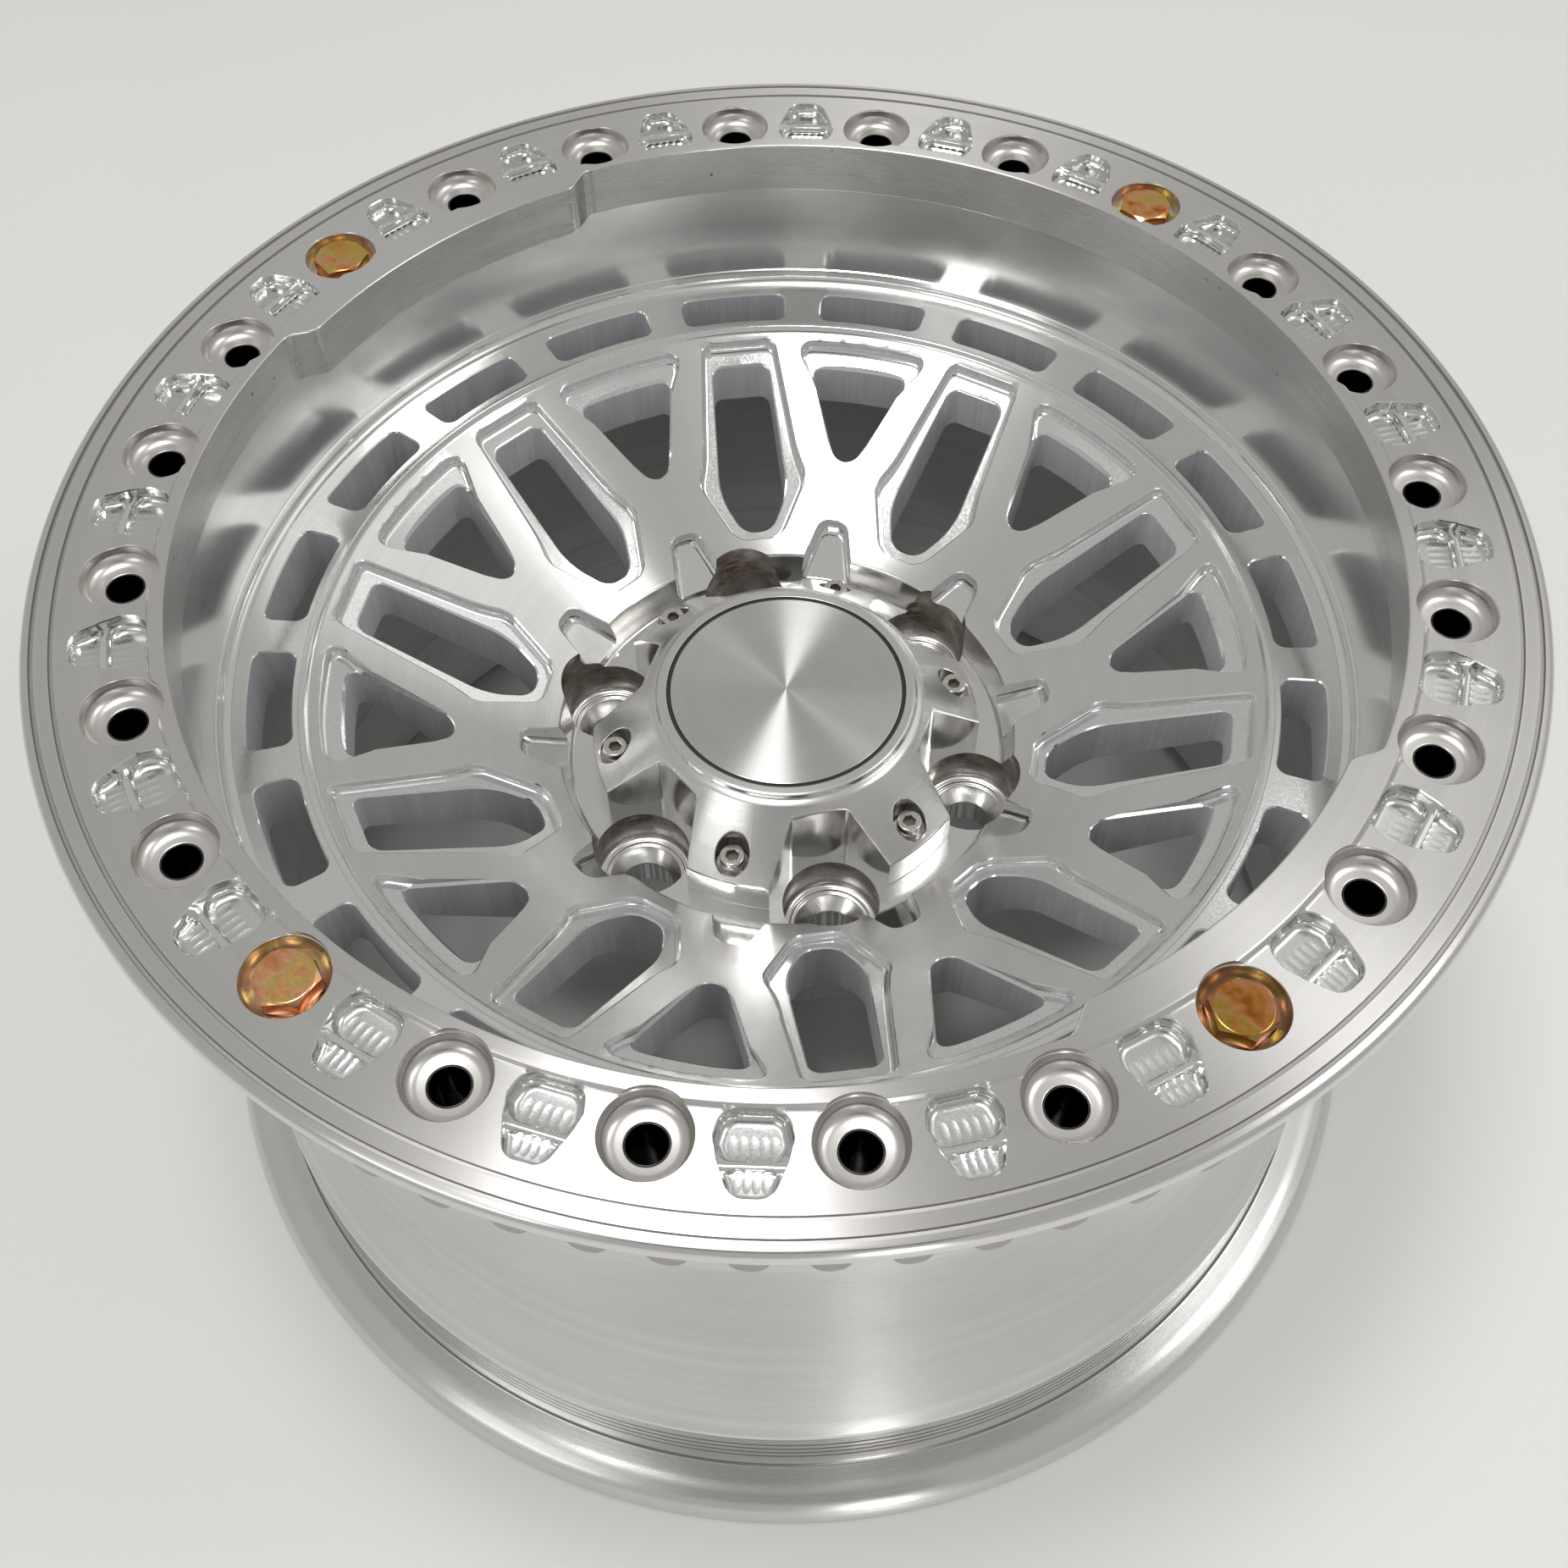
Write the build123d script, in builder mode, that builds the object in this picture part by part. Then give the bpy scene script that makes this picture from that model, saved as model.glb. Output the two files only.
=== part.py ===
from build123d import *
from math import radians, tan
import os

os.makedirs("parts", exist_ok=True)

# Sizes in millimetres and degrees. The wheel lies on its rear flange with its axis on +Z.
# A depth is measured down from the bolt face of the clamp ring.

# Overall height and the circle of the clamp bolts
face_height = 276.0
bolt_circle_r = 207.5
bolt_count = 24
bolt_turn = 7.5
fitted_bolts = (97.5, 187.5, 277.5, 352.5)

# Clamp ring
ring_thickness = 18.0
ring_overhang = 28.8
ring_edge = 5.5
ring_foot_reach = 6.5
ring_foot_step = 4.0
lip_inset = 14.9
lip_width = 4.4
lip_rise = 1.7
lip_edge = 0.6
face_reach = 18.3
band_reach = 24.1
line_width = 1.3
line_depth = 0.9
band_fall = 0.6
rim_edge = 1.2

# Two wide tabs on the inner lip of the ring
tab_reach = 7.3
tab_half_angle = 20.5
tab_end_angle = 3.2

# Bolt counterbores of the ring
counterbore_r = 12.3
bolt_seat_depth = 6.2

# Milled lightening pockets of the ring, a deep inner part and a shallow outer part
pocket_inner = 10.6
pocket_outer = 14.9
pocket_ridge = 4.6
pocket_ridge_bow = 1.0
pocket_half = 10.2
pocket_tip_half = 5.4
pocket_deep = 6.0
pocket_shallow = 3.6
pocket_corner = 3.4

# Grip lobes under the rim of the ring
lobe_count = 72
lobe_half = 5.6
lobe_drop = 2.8
lobe_length = 7.5
lobe_inset = 5.6

# Steel thread inserts and hex bolts
insert_r = 6.0
insert_depth = 42.0
thread_bore_r = 5.0
insert_fit = 0.05
bolt_hex = 17.0
bolt_head = 6.3
bolt_crown_r = 8.1
bolt_washer_r = 8.4
bolt_washer = 0.7
bolt_shank_r = 4.95
bolt_length = 30.0

# Dish, vents and spoke face of the wheel
dish_inset = 12.9
dish_taper = 2.6
dish_corner = 3.6
dish_depth = 61.2
vent_margin = 8.2
vent_width = 15.1
vent_count = 20
vent_angle = 13.3
vent_corner = 4.6
vent_thickness = 22.0
spoke_margin = 5.4
face_drop = 1.7
hub_depth = 104.8
spoke_root = 25.0
spoke_root_reach = 23.0

# Spoke windows
window_count = 10
ledge_depth = 4.0
long_margin = 3.0
long_end_gap = 4.6
long_outer_half = 14.2
long_neck_half = 18.4
long_wide_half = 21.4
long_end_half = 8.6
long_neck = 28.6
long_wide = 20.4
long_slot_margin = 6.0
long_slot_end = 5.2
long_slot_half = 11.2
long_slot_wide_half = 13.4
long_slot_end_half = 5.4
long_slot_shift = 2.0
long_outer_corner = 3.4
long_corner = 4.0
long_slot_round = 7.0
tri_margin = 2.9
tri_half = 24.0
tri_fade_half = 12.2
tri_fade = 24.4
tri_slot_margin = 6.0
tri_slot_half = 20.9
tri_slot_length = 36.5
tri_slot_round = 5.6
tri_slot_corner = 2.6
tri_apex_half = 3.0
tri_corner = 4.2

# Hub with its lug bores, rim pockets and centre bore
lug_count = 6
lug_circle_r = 69.85
lug_turn = 30.0
lug_bore_r = 17.0
lug_seat_depth = 133.0
lug_seat_r = 13.0
lug_hole_r = 9.4
lug_seat_angle = 60.0
seat_web = 17.0
rim_overlap = 1.85
hub_well = 13.2
hub_bore_r = 39.05
hub_wall = 5.0
rim_pocket_length = 11.0
rim_pocket_outer_half = 5.4
rim_pocket_inner_half = 9.2
rim_pocket_outer_depth = 3.6
rim_pocket_inner_depth = 6.4
rim_pocket_corner = 2.4

# Barrel, bead seats and rear flange
bead_step = 10.5
shoulder_depth = 67.0
shoulder_step = 2.6
drop_depth = 13.0
drop_start = 44.0
drop_round = 34.0
barrel_wall = 9.0
seat_rise = 3.0
seat_width = 26.5
seat_taper = 1.8
hump_rise = 1.4
hump_width = 8.5
rear_slope = 38.0
flange_height = 18.5
flange_width = 11.5
flange_edge = 7.5
seat_corner = 4.0
flange_lip = 12.0

# Centre cap
cap_gap = 14.5
cap_height = 34.8
cap_crown_r = 46.0
cap_rim_rise = 0.8
cap_skirt = 13.2
cap_hollow_r = 36.0
cap_roof = 9.0
notch_clear = 1.45
notch_half = 10.0
notch_spread = 36.0
notch_round = 2.2
disc_r = 41.2
disc_thickness = 3.0
disc_edge = 0.4
disc_sink = 0.5
o_ring_width = 1.3
o_ring_sink = 0.3
disc_fit = 0.05
screw_inset = 7.6
screw_recess_r = 6.0
screw_recess_depth = 5.4
screw_head_r = 4.4
screw_head = 5.0
screw_edge = 0.5
screw_socket = 4.0
screw_socket_depth = 2.6
screw_r = 2.45
screw_hole_r = 2.5
screw_length = 27.0
screw_hole_spare = 2.0

# How far a cut runs past the face that it opens
cut_over = 2.0

# Radii and heights that follow from the sizes above
ring_r = bolt_circle_r + ring_overhang
lip_r = bolt_circle_r - lip_inset
ring_bottom = face_height - ring_thickness
foot_r = bolt_circle_r + ring_foot_reach
bead_seat_r = bolt_circle_r + bead_step
dish_r = bolt_circle_r - dish_inset
dish_foot_r = dish_r - dish_taper
vent_z = face_height - dish_depth
vent_outer_r = dish_foot_r - vent_margin
vent_inner_r = vent_outer_r - vent_width
spoke_r = vent_inner_r - spoke_margin
spoke_z = vent_z - face_drop
hub_rim_r = lug_circle_r + lug_bore_r - rim_overlap
hub_rim_z = face_height - hub_depth
hub_floor_z = hub_rim_z - hub_well
seat_z = face_height - lug_seat_depth
pad_z = seat_z - seat_web
hub_back_r = hub_rim_r + hub_wall
knee_r = hub_rim_r + spoke_root_reach
face_slope = (spoke_z - hub_rim_z) / (spoke_r - hub_rim_r)
knee_z = hub_rim_z + (knee_r - hub_rim_r) * face_slope - spoke_root
vent_back_z = vent_z - vent_thickness
drop_r = bead_seat_r - drop_depth
barrel_inner_r = drop_r - barrel_wall
shoulder_z = face_height - shoulder_depth
corner_r = bead_seat_r + seat_rise
flange_r = corner_r + flange_height
seat_top_z = flange_width + seat_width
hump_z = seat_top_z + hump_width
drop_low_z = hump_z + rear_slope
drop_high_z = shoulder_z - drop_start
rear_inner_r = bead_seat_r - barrel_wall
cap_r = hub_rim_r - cap_gap
screw_circle_r = cap_r - screw_inset
cap_top_z = hub_floor_z + cap_height
cap_skirt_z = hub_floor_z + cap_skirt
cap_slope = (cap_top_z - cap_skirt_z) / (cap_r - cap_crown_r)
disc_seat_r = disc_r + o_ring_width
disc_seat_z = cap_top_z - disc_thickness + disc_sink
recess_floor_z = cap_top_z - (screw_circle_r - cap_crown_r) * cap_slope - screw_recess_depth
long_outer_r = spoke_r - long_margin
long_inner_r = hub_rim_r + long_end_gap
long_neck_r = long_inner_r + long_neck
long_wide_r = long_inner_r + long_wide
tri_outer_r = spoke_r - tri_margin
notch_chord = lug_circle_r - lug_bore_r - notch_clear
notch_end = cap_r + cut_over
notch_end_half = notch_half + (notch_end - notch_chord) * tan(radians(notch_spread))
bolt_seat_z = face_height - bolt_seat_depth
insert_bottom_z = face_height - insert_depth

# Floor of a spoke recess: everything under the spoke cone, lowered at its outer and inner end
def cone_line(outer_drop, inner_drop):
    low = hub_rim_z - (spoke_r - hub_rim_r)
    far = spoke_r + vent_width
    far_z = spoke_z + (far - spoke_r) * face_slope
    return [(0.0, low), (far, low), (far, far_z - outer_drop), (hub_rim_r, hub_rim_z - inner_drop),
            (0.0, hub_rim_z - hub_rim_r * face_slope - inner_drop)]


# Bolt counterbore and the hole for the insert
with BuildPart() as bolt_recess:
    with BuildSketch(Plane.XZ) as bolt_recess_profile:
        with BuildLine():
            Polyline(
                (0, lip_rise + cut_over),
                (counterbore_r, lip_rise + cut_over),
                (counterbore_r, -bolt_seat_depth),
                (insert_r + insert_fit, -bolt_seat_depth),
                (insert_r + insert_fit, -ring_thickness - cut_over),
                (0, -ring_thickness - cut_over),
                close=True,
            )
        make_face()
    revolve(axis=Axis.Z)

# Milled pocket of the ring: deep end toward the axis, shallow end toward the rim
with BuildPart() as ring_pocket:
    with BuildSketch(Plane.XY.offset(-pocket_deep)) as deep_outline:
        with BuildLine():
            FilletPolyline(
                (-pocket_inner, -pocket_half),
                (pocket_ridge - pocket_ridge_bow, -pocket_half),
                (pocket_ridge, 0),
                (pocket_ridge - pocket_ridge_bow, pocket_half),
                (-pocket_inner, pocket_half),
                radius=(pocket_corner, pocket_corner, 0, pocket_corner, pocket_corner),
                close=True,
            )
        make_face()
    extrude(amount=pocket_deep + lip_rise + cut_over)

with BuildPart() as ring_pocket_tip:
    with BuildSketch(Plane.XY.offset(-pocket_shallow)) as tip_outline:
        with BuildLine():
            FilletPolyline(
                (0, -pocket_half),
                (pocket_ridge, -pocket_half),
                (pocket_outer, -pocket_tip_half),
                (pocket_outer, pocket_tip_half),
                (pocket_ridge, pocket_half),
                (0, pocket_half),
                radius=(0, pocket_corner, pocket_corner, pocket_corner, pocket_corner, 0),
                close=True,
            )
        make_face()
    extrude(amount=pocket_shallow + lip_rise + cut_over)

# Outline of one tab: an arc on the inside, ogee ends, and a root inside the lip
with BuildSketch() as tab_outline:
    tab_start = tab_half_angle - tab_end_angle
    tab_r = lip_r - tab_reach
    tab_root_r = lip_r + lip_width / 2
    tip_a = Vector(tab_r, 0).rotate(Axis.Z, -tab_start)
    tip_b = Vector(tab_r, 0).rotate(Axis.Z, tab_start)
    root_a = Vector(lip_r, 0).rotate(Axis.Z, -tab_half_angle)
    root_b = Vector(lip_r, 0).rotate(Axis.Z, tab_half_angle)
    back_a = Vector(tab_root_r, 0).rotate(Axis.Z, -tab_half_angle)
    back_b = Vector(tab_root_r, 0).rotate(Axis.Z, tab_half_angle)
    along_a = Vector(0, 1).rotate(Axis.Z, -tab_start)
    along_b = Vector(0, 1).rotate(Axis.Z, tab_start)
    along_root_a = Vector(0, 1).rotate(Axis.Z, -tab_half_angle)
    along_root_b = Vector(0, 1).rotate(Axis.Z, tab_half_angle)
    with BuildLine():
        ThreePointArc(tip_a, (tab_r, 0), tip_b)
        Spline(tip_b, root_b, tangents=(along_b, along_root_b))
        Line(root_b, back_b)
        ThreePointArc(back_b, (tab_root_r, 0), back_a)
        Line(back_a, root_a)
        Spline(root_a, tip_a, tangents=(along_root_a, along_a))
    make_face()

# Clamp ring
with BuildPart() as beadlock_ring:
    with BuildSketch(Plane.XZ) as ring_profile:
        with BuildLine():
            Polyline(
                (lip_r, ring_bottom),
                (lip_r, face_height + lip_rise - lip_edge),
                (lip_r + lip_edge, face_height + lip_rise),
                (lip_r + lip_width, face_height + lip_rise),
                (lip_r + lip_width + lip_rise, face_height),
                (bolt_circle_r + face_reach, face_height),
                (bolt_circle_r + face_reach, face_height - line_depth),
                (bolt_circle_r + face_reach + line_width, face_height - line_depth),
                (bolt_circle_r + face_reach + line_width, face_height),
                (bolt_circle_r + band_reach, face_height),
                (bolt_circle_r + band_reach, face_height - line_depth),
                (bolt_circle_r + band_reach + line_width, face_height - line_depth),
                (bolt_circle_r + band_reach + line_width, face_height),
                (ring_r - rim_edge, face_height - band_fall),
                (ring_r, face_height - band_fall - rim_edge),
                (ring_r, face_height - ring_edge),
                (ring_r - lobe_inset, face_height - ring_edge - lobe_inset),
                (ring_r - lobe_inset, ring_bottom + ring_foot_step),
                (foot_r, ring_bottom + ring_foot_step),
                (foot_r, ring_bottom),
                close=True,
            )
        make_face()
    revolve(axis=Axis.Z)
    with BuildSketch(Plane.XY.offset(ring_bottom)) as tabs:
        with PolarLocations(0, 2):
            add(tab_outline.sketch)
    extrude(amount=ring_thickness + lip_rise)
    with BuildSketch(Plane.YZ.offset(ring_r - lobe_inset - lobe_length)) as lobe_outline:
        with BuildLine():
            Polyline(
                (-lobe_half, ring_bottom + ring_foot_step),
                (-lobe_half / 2, ring_bottom + ring_foot_step - lobe_drop),
                (lobe_half / 2, ring_bottom + ring_foot_step - lobe_drop),
                (lobe_half, ring_bottom + ring_foot_step),
                close=True,
            )
        make_face()
    lobe = extrude(lobe_outline.sketch, amount=lobe_length, mode=Mode.PRIVATE)
    with PolarLocations(0, lobe_count):
        add(lobe)
    with PolarLocations(bolt_circle_r, bolt_count, start_angle=bolt_turn):
        with Locations((0, 0, face_height)):
            add(bolt_recess.part, mode=Mode.SUBTRACT)
    with PolarLocations(bolt_circle_r, bolt_count):
        with Locations((0, 0, face_height)):
            add(ring_pocket.part, mode=Mode.SUBTRACT)
            add(ring_pocket_tip.part, mode=Mode.SUBTRACT)
beadlock_ring.part.label = "beadlock_ring"
export_step(beadlock_ring.part, "parts/beadlock_ring.step")

# Thread inserts: sleeves let into the wheel, which also locate the ring
with BuildPart() as thread_inserts:
    with BuildSketch(Plane.XZ) as insert_profile:
        with BuildLine():
            Polyline(
                (thread_bore_r, insert_bottom_z),
                (insert_r, insert_bottom_z),
                (insert_r, bolt_seat_z),
                (thread_bore_r, bolt_seat_z),
                close=True,
            )
        make_face()
    insert = revolve(axis=Axis.Z, mode=Mode.PRIVATE)
    with PolarLocations(bolt_circle_r, bolt_count, start_angle=bolt_turn):
        add(insert)
thread_inserts.part.label = "thread_inserts"
export_step(thread_inserts.part, "parts/thread_inserts.step")

# Hex bolt with a washer face and a turned chamfer on its head
with BuildPart() as hex_bolt:
    with BuildSketch(Plane.XY.offset(bolt_washer)) as hex_outline:
        RegularPolygon(radius=bolt_hex / 2, side_count=6, major_radius=False)
    extrude(amount=bolt_head - bolt_washer)
    with BuildSketch(Plane.XZ) as crown_profile:
        with BuildLine():
            Polyline(
                (0, bolt_washer),
                (bolt_hex, bolt_washer),
                (bolt_crown_r, bolt_head),
                (0, bolt_head),
                close=True,
            )
        make_face()
    revolve(axis=Axis.Z, mode=Mode.INTERSECT)
    with BuildSketch(Plane.XZ) as shank_profile:
        with BuildLine():
            Polyline(
                (0, bolt_washer),
                (bolt_washer_r, bolt_washer),
                (bolt_washer_r, 0),
                (bolt_shank_r, 0),
                (bolt_shank_r, -bolt_length),
                (0, -bolt_length),
                close=True,
            )
        make_face()
    revolve(axis=Axis.Z)

with BuildPart() as beadlock_bolts:
    for angle in fitted_bolts:
        with PolarLocations(bolt_circle_r, 1, start_angle=angle):
            with Locations(Location((0, 0, bolt_seat_z))):
                add(hex_bolt.part)
beadlock_bolts.part.label = "beadlock_bolts"
export_step(beadlock_bolts.part, "parts/beadlock_bolts.step")

# Outlines of one vent and of the through openings of the two kinds of window
with BuildSketch() as vent_outline:
    outer_a = Vector(vent_outer_r, 0).rotate(Axis.Z, -vent_angle / 2)
    outer_b = Vector(vent_outer_r, 0).rotate(Axis.Z, vent_angle / 2)
    inner_a = Vector(vent_inner_r, 0).rotate(Axis.Z, -vent_angle / 2)
    inner_b = Vector(vent_inner_r, 0).rotate(Axis.Z, vent_angle / 2)
    with BuildLine():
        ThreePointArc(outer_a, (vent_outer_r, 0), outer_b)
        Line(outer_b, inner_b)
        ThreePointArc(inner_b, (vent_inner_r, 0), inner_a)
        Line(inner_a, outer_a)
    make_face()
    fillet(vent_outline.vertices(), radius=vent_corner)

with BuildSketch() as long_slot_outline:
    with BuildLine():
        FilletPolyline(
            (long_outer_r - long_slot_margin, -long_slot_half),
            (long_outer_r - long_slot_margin, long_slot_half),
            (long_wide_r - long_slot_shift, long_slot_wide_half),
            (long_inner_r + long_slot_end, long_slot_end_half),
            (long_inner_r + long_slot_end, -long_slot_end_half),
            (long_wide_r - long_slot_shift, -long_slot_wide_half),
            radius=(long_corner, long_corner, long_slot_round, long_corner, long_corner, long_slot_round),
            close=True,
        )
    make_face()

with BuildSketch() as tri_slot_outline:
    with BuildLine():
        FilletPolyline(
            (tri_outer_r - tri_slot_margin, -tri_slot_half),
            (tri_outer_r - tri_slot_margin, tri_slot_half),
            (tri_outer_r - tri_slot_margin - tri_slot_length, tri_apex_half),
            (tri_outer_r - tri_slot_margin - tri_slot_length, -tri_apex_half),
            radius=(tri_slot_corner, tri_slot_corner, tri_slot_round, tri_slot_round),
            close=True,
        )
    make_face()

# Recess round a long window, which follows the spoke cone
with BuildPart() as long_ledge:
    with BuildSketch(Plane.XY.offset(hub_rim_z - hub_well)) as long_outline:
        with BuildLine():
            FilletPolyline(
                (long_outer_r, -long_outer_half),
                (long_outer_r, long_outer_half),
                (long_neck_r, long_neck_half),
                (long_wide_r, long_wide_half),
                (long_inner_r, long_end_half),
                (long_inner_r, -long_end_half),
                (long_wide_r, -long_wide_half),
                (long_neck_r, -long_neck_half),
                radius=(long_outer_corner, long_outer_corner, 0, long_corner, long_corner, long_corner,
                        long_corner, 0),
                close=True,
            )
        make_face()
    extrude(amount=vent_z - hub_rim_z + hub_well)
    with BuildSketch(Plane.XZ) as long_floor:
        with BuildLine():
            Polyline(cone_line(ledge_depth, ledge_depth), close=True)
        make_face()
    revolve(axis=Axis.Z, mode=Mode.SUBTRACT)

# Recess at the outer end of a triangular window
with BuildPart() as tri_ledge:
    with BuildSketch(Plane.XY.offset(hub_rim_z)) as tri_outline:
        with BuildLine():
            FilletPolyline(
                (tri_outer_r, -tri_half),
                (tri_outer_r, tri_half),
                (tri_outer_r - tri_fade, tri_fade_half),
                (tri_outer_r - tri_fade, -tri_fade_half),
                radius=(tri_corner, tri_corner, 0, 0),
                close=True,
            )
        make_face()
    extrude(amount=vent_z - hub_rim_z)
    with BuildSketch(Plane.XZ) as tri_floor:
        with BuildLine():
            Polyline(cone_line(ledge_depth, ledge_depth), close=True)
        make_face()
    revolve(axis=Axis.Z, mode=Mode.SUBTRACT)

# Rim pocket between two lug bores, opening into the hub well
with BuildPart() as rim_pocket:
    with BuildSketch(Plane.XY.offset(hub_floor_z)) as rim_pocket_outline:
        with BuildLine():
            FilletPolyline(
                (hub_rim_r + rim_pocket_length, -rim_pocket_outer_half),
                (hub_rim_r + rim_pocket_length, rim_pocket_outer_half),
                (hub_rim_r - cut_over, rim_pocket_inner_half),
                (hub_rim_r - cut_over, -rim_pocket_inner_half),
                radius=(rim_pocket_corner, rim_pocket_corner, 0, 0),
                close=True,
            )
        make_face()
    extrude(amount=vent_z - hub_floor_z)
    with BuildSketch(Plane.XZ) as rim_pocket_floor:
        with BuildLine():
            Polyline(cone_line(rim_pocket_outer_depth, rim_pocket_inner_depth), close=True)
        make_face()
    revolve(axis=Axis.Z, mode=Mode.SUBTRACT)

# One-piece wheel: barrel, dish, spokes and hub
with BuildPart() as wheel:
    with BuildSketch(Plane.XZ) as wheel_profile:
        with BuildLine():
            FilletPolyline(
                (hub_bore_r, pad_z),
                (hub_back_r, pad_z),
                (hub_back_r, (pad_z + knee_z) / 2),
                (knee_r, knee_z),
                (spoke_r, vent_back_z),
                (barrel_inner_r, vent_back_z),
                (barrel_inner_r, drop_low_z),
                (rear_inner_r, hump_z),
                (rear_inner_r, flange_width),
                (flange_r - flange_lip, 0),
                (flange_r, 0),
                (flange_r, flange_width - flange_edge),
                (flange_r - flange_edge / 3, flange_width - flange_edge / 3),
                (flange_r - flange_edge, flange_width),
                (corner_r + seat_corner, flange_width),
                (corner_r, flange_width + seat_corner),
                (corner_r - seat_taper, seat_top_z),
                (corner_r - seat_taper + hump_rise, hump_z - hump_width / 2),
                (bead_seat_r - hump_rise, hump_z),
                (drop_r, drop_low_z),
                (drop_r, drop_high_z),
                (bead_seat_r - shoulder_step, shoulder_z),
                (bead_seat_r, shoulder_z + shoulder_step),
                (bead_seat_r, ring_bottom),
                (dish_r, ring_bottom),
                (dish_foot_r, vent_z + dish_corner),
                (dish_foot_r - dish_corner, vent_z),
                (spoke_r, vent_z),
                (spoke_r, spoke_z),
                (hub_rim_r, hub_rim_z),
                (hub_rim_r, hub_floor_z),
                (hub_bore_r, hub_floor_z),
                radius=(0, 0, 0, 0, 0, 0, 0, 0, 0, 0, 0, 0, 0, 0, 0, 0, 0, 0, 0, drop_round, drop_round,
                        0, 0, 0, 0, 0, 0, 0, 0, 0, 0, 0),
                close=True,
            )
        make_face()
    revolve(axis=Axis.Z)

    # Ring of vents
    with BuildSketch(Plane.XY.offset(vent_z + cut_over)) as vents:
        with PolarLocations(0, vent_count):
            add(vent_outline.sketch)
    extrude(amount=-(vent_thickness + 2 * cut_over), mode=Mode.SUBTRACT)

    # Long windows with their recesses
    with PolarLocations(0, window_count):
        add(long_ledge.part, mode=Mode.SUBTRACT)
    with BuildSketch(Plane.XY.offset(vent_z)) as long_slots:
        with PolarLocations(0, window_count):
            add(long_slot_outline.sketch)
    extrude(amount=pad_z - vent_z, mode=Mode.SUBTRACT)

    # Triangular windows with their recesses
    with PolarLocations(0, window_count, start_angle=180 / window_count):
        add(tri_ledge.part, mode=Mode.SUBTRACT)
    with BuildSketch(Plane.XY.offset(vent_z)) as tri_slots:
        with PolarLocations(0, window_count, start_angle=180 / window_count):
            add(tri_slot_outline.sketch)
    extrude(amount=pad_z - vent_z, mode=Mode.SUBTRACT)

    # Rim pockets, lug bores with conical seats, screw and insert holes
    with PolarLocations(0, window_count, start_angle=180 / window_count):
        add(rim_pocket.part, mode=Mode.SUBTRACT)
    with BuildSketch(Plane.XY.offset(seat_z)) as lug_bores:
        with PolarLocations(lug_circle_r, lug_count, start_angle=lug_turn):
            Circle(lug_bore_r)
    extrude(amount=vent_z - seat_z, mode=Mode.SUBTRACT)
    with PolarLocations(lug_circle_r, lug_count, start_angle=lug_turn):
        with Locations((0, 0, seat_z)):
            CounterSinkHole(lug_hole_r, lug_seat_r, counter_sink_angle=lug_seat_angle)
    with BuildSketch(Plane.XY.offset(hub_floor_z)) as screw_holes:
        with PolarLocations(screw_circle_r, lug_count):
            Circle(screw_hole_r)
    extrude(amount=recess_floor_z - screw_length - screw_hole_spare - hub_floor_z, mode=Mode.SUBTRACT)
    with BuildSketch(Plane.XY.offset(ring_bottom)) as insert_holes:
        with PolarLocations(bolt_circle_r, bolt_count, start_angle=bolt_turn):
            Circle(insert_r + insert_fit)
    extrude(amount=insert_bottom_z - ring_bottom, mode=Mode.SUBTRACT)
wheel.part.label = "wheel"
export_step(wheel.part, "parts/wheel.step")

# Outline of one lug notch of the cap
with BuildSketch() as notch_outline:
    with BuildLine():
        FilletPolyline(
            (notch_end, -notch_end_half),
            (notch_end, notch_end_half),
            (notch_chord, notch_half),
            (notch_chord, -notch_half),
            radius=(0, 0, notch_round, notch_round),
            close=True,
        )
    make_face()

# Six-legged centre cap, notched for the lug nuts
with BuildPart() as centre_cap:
    with BuildSketch(Plane.XZ) as cap_profile:
        with BuildLine():
            Polyline(
                (0, hub_floor_z + cap_height - cap_roof - disc_thickness),
                (cap_hollow_r, hub_floor_z + cap_height - cap_roof - disc_thickness),
                (cap_hollow_r, hub_floor_z),
                (cap_r, hub_floor_z),
                (cap_r, cap_skirt_z),
                (cap_crown_r, cap_top_z - cap_rim_rise),
                (cap_crown_r - cap_rim_rise, cap_top_z),
                (disc_seat_r + disc_fit, cap_top_z),
                (disc_seat_r + disc_fit, disc_seat_z),
                (0, disc_seat_z),
                close=True,
            )
        make_face()
    revolve(axis=Axis.Z)
    with BuildSketch(Plane.XY.offset(hub_floor_z)) as notches:
        with PolarLocations(0, lug_count, start_angle=lug_turn):
            add(notch_outline.sketch)
    extrude(amount=cap_height + cut_over, mode=Mode.SUBTRACT)
    with BuildSketch(Plane.XY.offset(recess_floor_z)) as screw_recesses:
        with PolarLocations(screw_circle_r, lug_count):
            Circle(screw_recess_r)
    extrude(amount=cap_height, mode=Mode.SUBTRACT)
    with BuildSketch(Plane.XY.offset(recess_floor_z)) as cap_holes:
        with PolarLocations(screw_circle_r, lug_count):
            Circle(screw_hole_r)
    extrude(amount=hub_floor_z - recess_floor_z, mode=Mode.SUBTRACT)
centre_cap.part.label = "centre_cap"
export_step(centre_cap.part, "parts/centre_cap.step")

# Plain turned disc in the cap and the black ring round it
with BuildPart() as cap_disc:
    with BuildSketch(Plane.XY.offset(disc_seat_z)) as disc_outline:
        Circle(disc_r)
    extrude(amount=disc_thickness - disc_sink)
    chamfer(cap_disc.faces().sort_by(Axis.Z)[-1].edges(), length=disc_edge)
cap_disc.part.label = "cap_disc"
export_step(cap_disc.part, "parts/cap_disc.step")

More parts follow.
